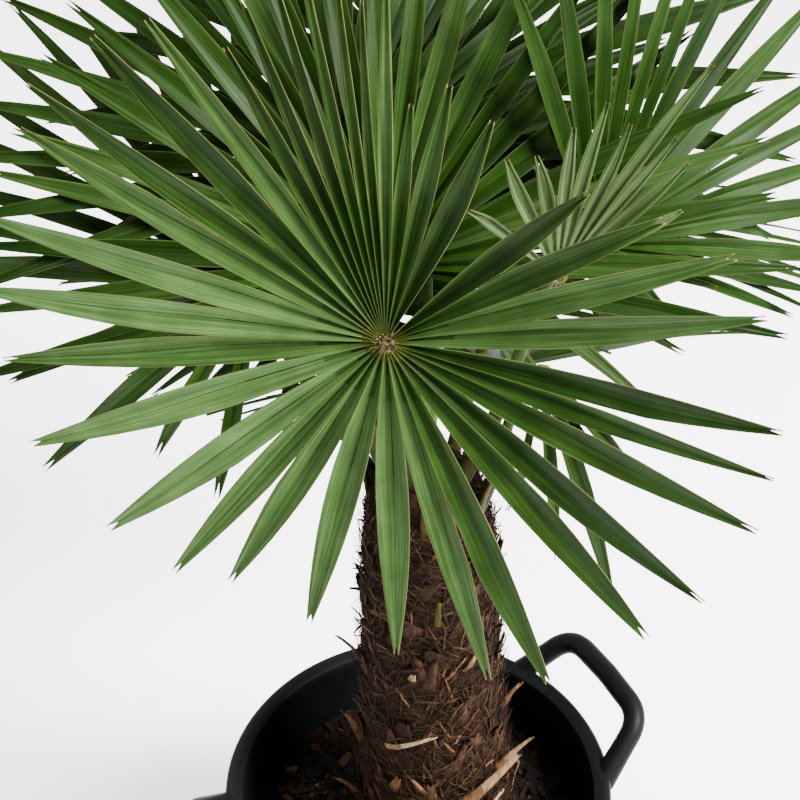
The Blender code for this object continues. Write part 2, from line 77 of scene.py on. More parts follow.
class NodeSheet:
    """A material's node tree with short calls to add and link nodes."""

    def __init__(self, name: str) -> None:
        """Start a material with an empty Principled surface.

        Args:
            name: The material's name.
        """
        self.material = bpy.data.materials.new(name)
        self.material.use_nodes = True
        self.tree = self.material.node_tree
        self.surface = self.tree.nodes["Principled BSDF"]

    def add(self, kind: str, **values: object) -> bpy.types.Node:
        """Add a node.

        Args:
            kind: The node's type, without its ShaderNode prefix.
            **values: Properties set on the node, or sockets by their name with _ for a blank.

        Returns:
            The new node.
        """
        node = self.tree.nodes.new(f"ShaderNode{kind}")
        for key, value in values.items():
            if hasattr(node, key):
                setattr(node, key, value)
            else:
                node.inputs[key.replace("_", " ")].default_value = value
        return node

    def link(self, source: bpy.types.NodeSocket, target: bpy.types.NodeSocket) -> None:
        """Link two sockets."""
        self.tree.links.new(source, target)

    def coordinates(self, kind: str, scale: tuple[float, float, float]) -> bpy.types.NodeSocket:
        """Texture coordinates stretched by a scale.

        Args:
            kind: Object or UV.
            scale: The scale along each axis.

        Returns:
            The socket of the stretched coordinates.
        """
        source = self.add("TexCoord")
        mapping = self.add("Mapping")
        mapping.inputs["Scale"].default_value = scale
        self.link(source.outputs[kind], mapping.inputs["Vector"])
        return mapping.outputs["Vector"]

    def noise(self, vector: bpy.types.NodeSocket, scale: float, detail: float = 3.0,
              roughness: float = 0.55) -> bpy.types.NodeSocket:
        """A noise pattern.

        Args:
            vector: Coordinates to read.
            scale: Scale of the pattern.
            detail: Octaves.
            roughness: Strength of the finer octaves.

        Returns:
            The socket of the noise value.
        """
        node = self.add("TexNoise", Scale=scale, Detail=detail, Roughness=roughness)
        self.link(vector, node.inputs["Vector"])
        return node.outputs["Fac"]

    def mixture(self, parts: list[tuple[bpy.types.NodeSocket, float]]) -> bpy.types.NodeSocket:
        """A weighted sum of patterns.

        Args:
            parts: Each pattern with its weight.

        Returns:
            The socket of the sum.
        """
        total = None
        for value, weight in parts:
            node = self.add("Math", operation="MULTIPLY_ADD")
            self.link(value, node.inputs[0])
            node.inputs[1].default_value = weight
            node.inputs[2].default_value = 0.0
            if total:
                self.link(total, node.inputs[2])
            total = node.outputs[0]
        return total

    def ramp(self, value: bpy.types.NodeSocket, stops: list[tuple[float, Colour]]) -> bpy.types.NodeSocket:
        """Colours by value.

        Args:
            value: The value to read.
            stops: Position and colour of each stop.

        Returns:
            The socket of the colour.
        """
        node = self.add("ValToRGB")
        elements = node.color_ramp.elements
        while len(elements) < len(stops):
            elements.new(0.5)
        for element, (position, colour) in zip(elements, stops):
            element.position = position
            element.color = (*colour, 1.0)
        self.link(value, node.inputs["Fac"])
        return node.outputs["Color"]

    def bump(self, value: bpy.types.NodeSocket, depth: float, strength: float = 1.0) -> None:
        """Raise the surface by a pattern.

        Args:
            value: The height pattern, from 0 to 1.
            depth: Height of the pattern in metres.
            strength: Share of the bump.
        """
        node = self.add("Bump", Distance=depth, Strength=strength)
        self.link(value, node.inputs["Height"])
        self.link(node.outputs["Normal"], self.surface.inputs["Normal"])

    def gloss(self, value: bpy.types.NodeSocket, low: float, high: float) -> None:
        """Vary the roughness by a pattern between two values."""
        node = self.add("MapRange")
        node.inputs["To Min"].default_value = low
        node.inputs["To Max"].default_value = high
        self.link(value, node.inputs["Value"])
        self.link(node.outputs["Result"], self.surface.inputs["Roughness"])

    def colour(self, value: bpy.types.NodeSocket) -> None:
        """Take the base colour from a socket."""
        self.link(value, self.surface.inputs["Base Color"])


def tint(colour: Colour, factor: float) -> Colour:
    """A colour made lighter or darker by a factor."""
    return (colour[0] * factor, colour[1] * factor, colour[2] * factor)


@dataclass(frozen=True)
class LeafFinish:
    """The waxy skin of a leaf blade, with fine lengthwise veins; its palest streaks carry a painted sheen."""

    name: str
    tone: Colour
    vein_depth: float = 0.00018
    roughness: float = 0.42
    shine: float = 0.11
    # Strength of the painted sheen on the palest streaks.
    painted_sheen: float = 0.0

    def material(self) -> bpy.types.Material:
        """Build the material.

        Returns:
            The finished material.
        """
        sheet = NodeSheet(self.name)
        bands = sheet.noise(sheet.coordinates("UV", (0.4, 3.2, 1.0)), 2.4, 2.0, 0.5)
        fine = sheet.noise(sheet.coordinates("UV", (0.8, 12.0, 1.0)), 2.4, 4.0, 0.7)
        cloud = sheet.noise(sheet.coordinates("Object", (1.0, 1.0, 1.0)), 26.0, 3.0)
        veins = sheet.mixture([(bands, 0.36), (fine, 0.44), (cloud, 0.20)])
        # The palest streaks are the tone made lighter, with a pale grey-green added as a painted sheen.
        pale = [value * 1.5 + self.painted_sheen * share for value, share in zip(self.tone, (0.010, 0.013, 0.009))]
        sheet.colour(sheet.ramp(veins, [(0.40, tint(self.tone, 0.58)), (0.50, self.tone), (0.60, tuple(pale))]))
        sheet.gloss(cloud, self.roughness - 0.08, self.roughness + 0.12)
        sheet.bump(veins, self.vein_depth)
        sheet.surface.inputs["Specular IOR Level"].default_value = self.shine
        return sheet.material


@dataclass(frozen=True)
class PlainFinish:
    """A small part's finish with a faint mottle."""

    name: str
    tone: Colour
    roughness: float = 0.6
    grain: float = 400.0

    def material(self) -> bpy.types.Material:
        """Build the material.

        Returns:
            The finished material.
        """
        sheet = NodeSheet(self.name)
        mottle = sheet.noise(sheet.coordinates("Object", (1.0, 1.0, 1.0)), self.grain, 3.0)
        sheet.colour(sheet.ramp(mottle, [(0.3, tint(self.tone, 0.72)), (0.7, tint(self.tone, 1.25))]))
        sheet.gloss(mottle, self.roughness - 0.06, self.roughness + 0.10)
        sheet.surface.inputs["Specular IOR Level"].default_value = 0.08
        sheet.bump(mottle, 0.0002)
        return sheet.material


@dataclass(frozen=True)
class BarkFinish:
    """Matted fibre: dark between the threads, warm brown on them."""

    name: str
    dark: Colour
    light: Colour
    stretch: tuple[float, float, float] = (1.0, 1.0, 0.35)

    def material(self) -> bpy.types.Material:
        """Build the material.

        Returns:
            The finished material.
        """
        sheet = NodeSheet(self.name)
        threads = sheet.noise(sheet.coordinates("Object", self.stretch), 240.0, 5.0, 0.62)
        sheet.colour(sheet.ramp(threads, [(0.30, self.dark), (0.72, self.light)]))
        sheet.surface.inputs["Roughness"].default_value = 0.85
        sheet.surface.inputs["Specular IOR Level"].default_value = 0.05
        sheet.bump(threads, 0.0012)
        return sheet.material


@dataclass(frozen=True)
class TubFinish:
    """Black moulded plastic with a fine grain and dusty scuffs."""

    name: str = "tub_black"
    tone: Colour = (0.0016, 0.0018, 0.0020)

    def material(self) -> bpy.types.Material:
        """Build the material.

        Returns:
            The finished material.
        """
        sheet = NodeSheet(self.name)
        place = sheet.coordinates("Object", (1.0, 1.0, 1.0))
        dust = sheet.noise(place, 14.0, 5.0, 0.6)
        sheet.colour(sheet.ramp(dust, [(0.35, tint(self.tone, 0.85)), (0.75, tint(self.tone, 1.7))]))
        sheet.gloss(dust, 0.40, 0.58)
        sheet.surface.inputs["Specular IOR Level"].default_value = 0.05
        sheet.bump(sheet.noise(place, 900.0, 2.0), 0.00012)
        return sheet.material


@dataclass(frozen=True)
class SpeckledFinish:
    """Crumbs of dark potting mix."""

    name: str
    dark: Colour
    light: Colour

    def material(self) -> bpy.types.Material:
        """Build the material.

        Returns:
            The finished material.
        """
        sheet = NodeSheet(self.name)
        place = sheet.coordinates("Object", (1.0, 1.0, 1.0))
        crumbs = sheet.noise(place, 420.0, 6.0, 0.68)
        sheet.colour(sheet.ramp(crumbs, [(0.38, self.dark), (0.70, self.light)]))
        sheet.surface.inputs["Roughness"].default_value = 0.92
        sheet.surface.inputs["Specular IOR Level"].default_value = 0.05
        sheet.bump(crumbs, 0.0022)
        return sheet.material


@dataclass(frozen=True)
class StreakFinish:
    """Smooth stalk skin with faint lengthwise streaks."""

    name: str
    tone: Colour

    def material(self) -> bpy.types.Material:
        """Build the material.

        Returns:
            The finished material.
        """
        sheet = NodeSheet(self.name)
        streaks = sheet.noise(sheet.coordinates("Object", (1.0, 1.0, 0.08)), 260.0, 3.0, 0.6)
        sheet.colour(sheet.ramp(streaks, [(0.3, tint(self.tone, 0.62)), (0.7, tint(self.tone, 1.35))]))
        sheet.gloss(streaks, 0.45, 0.65)
        sheet.surface.inputs["Specular IOR Level"].default_value = 0.03
        sheet.bump(streaks, 0.0003)
        return sheet.material


def dress(bm: bmesh.types.BMesh, name: str, finishes: list[bpy.types.Material],
          replaced: tuple[str, ...], sharp: float = 40.0) -> bpy.types.Object:
    """Turn a bmesh into a finished piece that rides on the part.

    Args:
        bm: The shape, which is freed.
        name: The piece's name.
        finishes: Its materials, in slot order.
        replaced: CAD nodes that it stands for.
        sharp: Angle in degrees past which an edge stays crisp.

    Returns:
        The piece.
    """
    mesh = bpy.data.meshes.new(name)
    bm.to_mesh(mesh)
    bm.free()
    mesh.shade_smooth()
    mesh.set_sharp_from_angle(angle=math.radians(sharp))
    piece = bpy.data.objects.new(name, mesh)
    bpy.context.scene.collection.objects.link(piece)
    for finish in finishes:
        mesh.materials.append(finish)
    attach(piece, BODY)
    if replaced:
        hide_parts(*replaced)
    LOG.info("%s: %d faces", name, len(mesh.polygons))
    return piece


def tube(bm: bmesh.types.BMesh, line: list[Vector], radii: list[float], sides: int,
         flat: float = 1.0, up: Vector = UP, material: int = 0) -> list[bmesh.types.BMVert]:
    """Extrude a ring along a line and close both ends.

    Args:
        bm: The bmesh that the tube is added to.
        line: Points along the middle.
        radii: Radius at each point.
        sides: Corners of the ring.
        flat: Share of the radius across the other way.
        up: The direction that the ring's flat side keeps to.
        material: Material index of the faces.

    Returns:
        The tube's vertices.
    """
    last = len(line) - 1
    made = bmesh.ops.create_circle(bm, segments=sides, radius=1.0)["verts"]
    start = list({edge for vert in made for edge in vert.link_edges})
    edges = start
    for _ in range(last):
        grown = bmesh.ops.extrude_edge_only(bm, edges=edges)["geom"]
        ring = [item for item in grown if isinstance(item, bmesh.types.BMVert)]
        edges = [item for item in grown if isinstance(item, bmesh.types.BMEdge)]
        bmesh.ops.translate(bm, vec=UP, verts=ring)
        made += ring
    bmesh.ops.edgeloop_fill(bm, edges=start)
    bmesh.ops.edgeloop_fill(bm, edges=[edge for edge in edges if abs(edge.verts[0].co.z - last) < 0.5
                                       and abs(edge.verts[1].co.z - last) < 0.5])
    for vert in made:
        step = round(vert.co.z)
        angle = math.atan2(vert.co.y, vert.co.x)
        tangent = (line[min(step + 1, last)] - line[max(step - 1, 0)]).normalized()
        side = tangent.cross(up).normalized()
        front = side.cross(tangent)
        vert.co = (line[step] + side * (radii[step] * math.cos(angle))
                   + front * (radii[step] * flat * math.sin(angle)))
    faces = list({face for vert in made for face in vert.link_faces})
    bmesh.ops.recalc_face_normals(bm, faces=faces)
    for face in faces:
        face.material_index = material
    return made


@dataclass
class Sheaf:
    """Many small shapes gathered for one joined mesh."""

    points: list[Vector] = field(default_factory=list)
    faces: list[tuple[int, ...]] = field(default_factory=list)
    slots: list[int] = field(default_factory=list)
    places: list[tuple[float, float]] = field(default_factory=list)

    def grid(self, rows: list[list[Vector]], slots: list[list[int]],
             places: list[list[tuple[float, float]]]) -> None:
        """Add a sheet of quads.

        Args:
            rows: Points of each row, from one long edge to the other.
            slots: Material index of each quad, or -1 for an opening.
            places: Texture place of each point.
        """
        first = len(self.points)
        wide = len(rows[0])
        for row in rows:
            self.points += row
        for j in range(len(rows) - 1):
            for i in range(wide - 1):
                if slots[j][i] < 0:
                    continue
                corners = ((j, i), (j + 1, i), (j + 1, i + 1), (j, i + 1))
                self.faces.append(tuple(first + row * wide + column for row, column in corners))
                self.slots.append(slots[j][i])
                self.places += [places[row][column] for row, column in corners]

    def strand(self, line: list[Vector], radius: float, slot: int, sides: int = 3,
               thin: float = 1.0) -> None:
        """Add a thread with pointed ends.

        Args:
            line: Points along the thread.
            radius: Its half thickness.
            slot: Material index.
            sides: Corners of its section.
            thin: Share of the radius kept by the ring before the far end.
        """
        first = len(self.points)
        last = len(line) - 1
        tangent = (line[-1] - line[0]).normalized()
        side = tangent.orthogonal().normalized()
        front = tangent.cross(side)
        turns = [2 * math.pi * k / sides for k in range(sides)]
        arms = [side * math.cos(a) + front * math.sin(a) for a in turns]
        self.points.append(line[0])
        for step in range(1, last):
            wide = radius * (1 + (thin - 1) * step / last)
            self.points += [line[step] + arm * wide for arm in arms]
        self.points.append(line[-1])
        end = len(self.points) - 1
        faces = [(first, first + 1 + (k + 1) % sides, first + 1 + k) for k in range(sides)]
        for ring in range(last - 2):
            low = first + 1 + ring * sides
            faces += [(low + k, low + (k + 1) % sides, low + sides + (k + 1) % sides, low + sides + k)
                      for k in range(sides)]
        low = first + 1 + (last - 2) * sides
        faces += [(low + k, low + (k + 1) % sides, end) for k in range(sides)]
        self.take(faces, slot)

    def block(self, middle: Vector, along: Vector, across: Vector, up: Vector, slot: int,
              rng: random.Random) -> None:
        """Add a splintered chip.

        Args:
            middle: The chip's middle.
            along: Half its length.
            across: Half its width.
            up: Half its thickness.
            slot: Material index.
            rng: Source of its uneven corners.
        """
        first = len(self.points)
        for a, b, c in ((-1, -1, -1), (1, -1, -1), (1, 1, -1), (-1, 1, -1),
                        (-1, -1, 1), (1, -1, 1), (1, 1, 1), (-1, 1, 1)):
            self.points.append(middle + along * (a * rng.uniform(0.65, 1.0)) + across * (b * rng.uniform(0.5, 1.0))
                               + up * (c * rng.uniform(0.5, 1.0)))
        corners = ((0, 3, 2, 1), (4, 5, 6, 7), (0, 1, 5, 4), (1, 2, 6, 5), (2, 3, 7, 6), (3, 0, 4, 7))
        self.take([tuple(first + corner for corner in face) for face in corners], slot)

    def take(self, faces: list[tuple[int, ...]], slot: int) -> None:
        """Keep faces that have no texture place of their own."""
        self.faces += faces
        self.slots += [slot] * len(faces)
        self.places += [(0.0, 0.0)] * sum(len(face) for face in faces)

    def bmesh(self, merge: float = 0.0) -> bmesh.types.BMesh:
        """Join everything.

        Args:
            merge: Distance under which points become one.

        Returns:
            The joined shapes.
        """
        mesh = bpy.data.meshes.new("sheaf")
        mesh.from_pydata(self.points, [], self.faces)
        mesh.polygons.foreach_set("material_index", self.slots)
        layer = mesh.uv_layers.new(name="UVMap")
        layer.data.foreach_set("uv", [value for place in self.places for value in place])
        bm = bmesh.new()
        bm.from_mesh(mesh)
        bpy.data.meshes.remove(mesh)
        if merge:
            bmesh.ops.remove_doubles(bm, verts=bm.verts, dist=merge)
        return bm


def thicken(piece: bpy.types.Object, thickness: float, under: int = 0) -> None:
    """Give a sheet its thickness on its lower side.

    Args:
        piece: The sheet.
        thickness: Thickness in metres.
        under: How many slots further on the underside's material lies.
    """
    wall = piece.modifiers.new("thickness", "SOLIDIFY")
    wall.thickness = thickness
    wall.offset = -1.0
    wall.material_offset = under


def blend(low: float, high: float, value: float) -> float:
    """A smooth step from 0 at the low value to 1 at the high one."""
    share = min(1.0, max(0.0, (value - low) / (high - low)))
    return share * share * (3 - 2 * share)


def bezier(start: Vector, lead: Vector, tail: Vector, end: Vector, steps: int) -> list[Vector]:
    """Evenly timed points on a cubic curve.

    Args:
        start: First point.
        lead: Handle of the first point.
        tail: Handle of the last point.
        end: Last point.
        steps: Number of pieces.

    Returns:
        The points.
    """
    points = []
    for step in range(steps + 1):
        t = step / steps
        s = 1 - t
        points.append(start * s**3 + lead * (3 * s * s * t) + tail * (3 * s * t * t) + end * t**3)
    return points


class CadPoints:
    """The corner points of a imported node, for finding which choice its builder took."""

    def __init__(self, name: str) -> None:
        """Sort a node's points for searching.

        Args:
            name: The node's name.
        """
        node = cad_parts[name]
        verts = node.data.vertices
        self.tree = kdtree.KDTree(len(verts))
        for index, vert in enumerate(verts):
            self.tree.insert(node.matrix_world @ vert.co, index)
        self.tree.balance()

    def off(self, point: Vector) -> float:
        """Distance from a point to the nearest corner."""
        return self.tree.find(point)[2]


@dataclass
class Studio:
    """Plain pale floor, soft light and the camera at the photograph's view."""

    turn: float = math.radians(-30.0)
    stand: Vector = field(default_factory=lambda: Vector((-0.019, -1.281, 2.009)))
    pitch: float = math.radians(90.0 - 41.82)
    lens: float = 90.0
    floor_size: float = 14.0
    floor_tone: Colour = (0.88, 0.88, 0.87)

    def build(self) -> None:
        """Make the floor, lights and camera."""
        self.floor()
        self.lights()
        self.camera()

    def floor(self) -> None:
        """The pale floor that the tub stands on."""
        bm = bmesh.new()
        bmesh.ops.create_grid(bm, x_segments=1, y_segments=1, size=self.floor_size / 2)
        mesh = bpy.data.meshes.new("floor")
        bm.to_mesh(mesh)
        bm.free()
        ground = bpy.data.objects.new("floor", mesh)
        bpy.context.scene.collection.objects.link(ground)
        sheet = NodeSheet("floor_pale")
        cloud = sheet.noise(sheet.coordinates("Object", (1.0, 1.0, 1.0)), 3.0, 3.0)
        sheet.colour(sheet.ramp(cloud, [(0.3, tint(self.floor_tone, 0.985)), (0.7, self.floor_tone)]))
        sheet.surface.inputs["Roughness"].default_value = 0.9
        mesh.materials.append(sheet.material)

    def lights(self) -> None:
        """A broad key from the upper right, a wash on the floor at the left, and a pale sky."""
        for name, place, aim, size, power in (
            ("key", Vector((2.5, -1.1, 3.1)), Vector((0.0, 0.0, 0.9)), 1.4, 1350.0),
            ("wash", Vector((-1.2, 1.0, 2.6)), Vector((-0.8, 1.0, 0.0)), 1.2, 110.0),
        ):
            lamp = bpy.data.lights.new(name, "AREA")
            lamp.size = size
            lamp.energy = power
            item = bpy.data.objects.new(name, lamp)
            bpy.context.scene.collection.objects.link(item)
            spot = Matrix.Rotation(self.turn, 4, "Z") @ place
            item.location = spot
            item.rotation_euler = (aim - spot).to_track_quat("-Z", "Y").to_euler()
        world = bpy.data.worlds.new("studio")
        bpy.context.scene.world = world
        world.use_nodes = True
        sky = world.node_tree.nodes["Background"]
        sky.inputs["Color"].default_value = (0.96, 0.98, 1.0, 1.0)
        sky.inputs["Strength"].default_value = 1.95

    def camera(self) -> None:
        """The camera at the photograph's viewing angle."""
        lens = bpy.data.cameras.new("camera")
        lens.lens = self.lens
        lens.sensor_width = 36.0
        lens.clip_end = 60.0
        item = bpy.data.objects.new("camera", lens)
        bpy.context.scene.collection.objects.link(item)
        item.matrix_world = (Matrix.Rotation(self.turn, 4, "Z") @ Matrix.Translation(self.stand)
                             @ Matrix.Rotation(self.pitch, 4, "X"))
        bpy.context.scene.camera = item


@dataclass
class Tub:
    """The round tub and its two loop handles."""

    height: float = 0.330
    rim_radius: float = 0.200
    foot_radius: float = 0.150
    wall: float = 0.005
    floor: float = 0.006
    lip_width: float = 0.020
    lip_depth: float = 0.026
    lip_round: float = 0.007
    steps: int = 128
    handle_foot_half: float = 0.085
    handle_corner_half: float = 0.0645
    handle_corner_out: float = 0.232
    handle_corner_rise: float = 0.034
    handle_foot_drop: float = 0.014
    handle_radius: float = 0.0115
    handle_round: float = 0.026

    def build(self) -> None:
        """Make the tub and both handles."""
        black = TubFinish().material()
        self.shell(black)
        for name, way in (("handle_right", 1), ("handle_left", -1)):
            self.handle(name, way, black)

    def wall_radius(self, height: float) -> float:
        """Outer radius of the wall at a height below the lip."""
        top = self.rim_radius - 0.010
        return self.foot_radius + (top - self.foot_radius) * height / (self.height - self.lip_depth)

    def shell(self, black: bpy.types.Material) -> None:
        """Spin the wall, floor and lip.

        Args:
            black: The tub's material.
        """
        under = self.height - self.lip_depth
        inner = self.rim_radius - self.lip_width
        profile = [(0.0, 0.0015), (self.foot_radius - 0.024, 0.0015), (self.foot_radius - 0.020, 0.0),
                   (self.foot_radius - 0.009, 0.0), (self.foot_radius - 0.003, 0.0022),
                   (self.foot_radius, 0.008)]
        profile += [(self.wall_radius(under * k / 6), under * k / 6) for k in range(1, 7)]
        profile += [(self.rim_radius - 0.0015, under + 0.0005), (self.rim_radius, under + 0.003)]
        for k in range(9):
            angle = math.radians(90 * k / 8)
            profile.append((self.rim_radius - self.lip_round * (1 - math.cos(angle)),
                            self.height - self.lip_round * (1 - math.sin(angle))))
        profile += [(self.rim_radius - self.lip_width / 2, self.height), (inner + 0.005, self.height - 0.0006),
                    (inner + 0.002, self.height - 0.002), (inner + 0.0005, self.height - 0.005),
                    (inner, self.height - 0.010), (inner, under)]
        profile += [(self.wall_radius(0) - self.wall, self.floor), (0.0, self.floor)]
        bm = bmesh.new()
        verts = [bm.verts.new((radius, 0.0, z)) for radius, z in profile]
        edges = [bm.edges.new(pair) for pair in zip(verts, verts[1:])]
        bmesh.ops.spin(bm, geom=verts + edges, axis=UP, cent=(0, 0, 0), angle=2 * math.pi,
                       steps=self.steps, use_merge=True)
        bmesh.ops.remove_doubles(bm, verts=bm.verts, dist=1e-6)
        bmesh.ops.recalc_face_normals(bm, faces=bm.faces)
        dress(bm, "tub_shell", [black], ("tub",), 30.0)

    def handle_line(self) -> list[Vector]:
        """The middle line of one loop, from foot to foot.

        Returns:
            Points along the loop.
        """
        foot_out = math.sqrt(self.rim_radius**2 - self.handle_foot_half**2) - 0.008
        foot = Vector((foot_out, self.handle_foot_half, self.height - self.handle_foot_drop - 0.003))
        corner = Vector((self.handle_corner_out, self.handle_corner_half, self.height + self.handle_corner_rise))
        middle = Vector((self.handle_corner_out + 0.002, 0.0, self.height + self.handle_corner_rise + 0.002))
        before = corner + (foot - corner).normalized() * self.handle_round
        after = corner + (middle - corner).normalized() * self.handle_round
        half = [foot.lerp(before, k / 6) for k in range(6)]
        for k in range(13):
            t = k / 12
            half.append(before * (1 - t)**2 + corner * (2 * t * (1 - t)) + after * t * t)
        half += [after.lerp(middle, k / 4) for k in range(1, 4)]
        return half + [middle] + [Vector((p.x, -p.y, p.z)) for p in reversed(half)]

    def handle(self, name: str, way: int, black: bpy.types.Material) -> None:
        """Sweep one handle along its line.

        Args:
            name: The CAD node that it stands for.
            way: 1 or -1, the side of the tub.
            black: The tub's material.
        """
        line = [Vector((p.x * way, p.y * way, p.z)) for p in self.handle_line()]
        radii = [self.handle_radius * (1.0 + 0.10 * max(0.0, 1 - min(k, len(line) - 1 - k) / 5))
                 for k in range(len(line))]
        bm = bmesh.new()
        tube(bm, line, radii, 24)
        dress(bm, f"{name}_grip", [black], (name,), 50.0)


@dataclass
class Soil:
    """Dark potting mix with bark chips on top."""

    top: float = 0.260
    edge_drop: float = 0.006
    gap: float = 0.0003
    floor: float = 0.0063
    foot_radius: float = 0.1444
    edge_radius: float = 0.1739
    slope_wide: float = 0.035
    steps: int = 112
    rings: int = 34
    chips: int = 1100

    def build(self) -> None:
        """Make the body of soil and its chips."""
        self.body()
        self.bark()

    def level(self, spot: Vector) -> float:
        """Height of the surface at a spot.

        Args:
            spot: A point on the surface, of which x and y count.

        Returns:
            The height in metres.
        """
        radius = math.hypot(spot.x, spot.y)
        slope = max(0.0, radius - (self.edge_radius - self.slope_wide)) / self.slope_wide
        bumps = noise.fractal(Vector((spot.x * 38, spot.y * 38, 1.7)), 0.9, 2.1, 4)
        return self.top - self.edge_drop * slope + 0.0022 * bumps

    def body(self) -> None:
        """Spin the body, then roughen its top."""
        edge = self.top - self.edge_drop
        profile = [(0.0, self.floor), (self.foot_radius, self.floor), (self.edge_radius, edge)]
        profile += [(self.edge_radius * (1 - k / self.rings), self.top) for k in range(1, self.rings + 1)]
        bm = bmesh.new()
        verts = [bm.verts.new((radius, 0.0, z)) for radius, z in profile]
        edges = [bm.edges.new(pair) for pair in zip(verts, verts[1:])]
        bmesh.ops.spin(bm, geom=verts + edges, axis=UP, cent=(0, 0, 0), angle=2 * math.pi,
                       steps=self.steps, use_merge=True)
        bmesh.ops.remove_doubles(bm, verts=bm.verts, dist=1e-6)
        bmesh.ops.recalc_face_normals(bm, faces=bm.faces)
        for vert in bm.verts:
            if vert.co.z > self.top - 0.001:
                vert.co.z = self.level(vert.co)
        dark = SpeckledFinish("soil_dark", (0.0012, 0.0008, 0.0005), (0.0080, 0.0046, 0.0026)).material()
        dress(bm, "potting_mix", [dark], ("soil",), 35.0)

    def bark(self) -> None:
        """Scatter chips over the top between the trunk and the wall."""
        rng = random.Random(31)
        sheaf = Sheaf()
        for _ in range(self.chips):
            radius = math.sqrt(rng.uniform(0.082**2, (self.edge_radius - 0.008)**2))
            angle = rng.uniform(0, 2 * math.pi)
            spot = Vector((radius * math.cos(angle) + 0.006, radius * math.sin(angle) - 0.004, 0.0))
            if math.hypot(spot.x, spot.y) > self.edge_radius - 0.007:
                continue
            heading = rng.uniform(0, 2 * math.pi)
            tilt = rng.gauss(0, 0.35)
            size = rng.choice((0.3, 0.4, 0.5, 0.6, 0.8, 1.2))
            along = Vector((math.cos(heading) * math.cos(tilt), math.sin(heading) * math.cos(tilt), math.sin(tilt)))
            across = Vector((-math.sin(heading), math.cos(heading), rng.gauss(0, 0.3))).normalized()
            up = along.cross(across).normalized()
            half = 0.0085 * size * rng.uniform(0.7, 1.25)
            spot.z = self.level(spot) + half * abs(math.sin(tilt)) * 0.6 + 0.0008
            slot = rng.choices((0, 1, 2, 3), (8, 4, 1.5, 0.5))[0]
            sheaf.block(spot, along * half, across * (half * rng.uniform(0.35, 0.75)),
                        up * (half * rng.uniform(0.12, 0.3)), slot, rng)
        finishes = [PlainFinish(name, tone, 0.85).material() for name, tone in (
            ("chip_black", (0.0016, 0.0011, 0.0008)), ("chip_brown", (0.0050, 0.0028, 0.0014)),
            ("chip_rust", (0.020, 0.0095, 0.0036)), ("chip_tan", (0.042, 0.0240, 0.0110)))]
        dress(sheaf.bmesh(), "bark_chips", finishes, (), 20.0)


@dataclass(frozen=True)
class Strap:
    """One flat base of an old leaf: its place on the trunk, its size and how far it stands off.

    Its face turns outward, or towards the azimuth of facing.
    """

    azimuth: float
    height: float
    width: float
    length: float
    stand: float
    tone: int
    lean: float = 0.0
    raised: float = 0.0
    facing: float | None = None


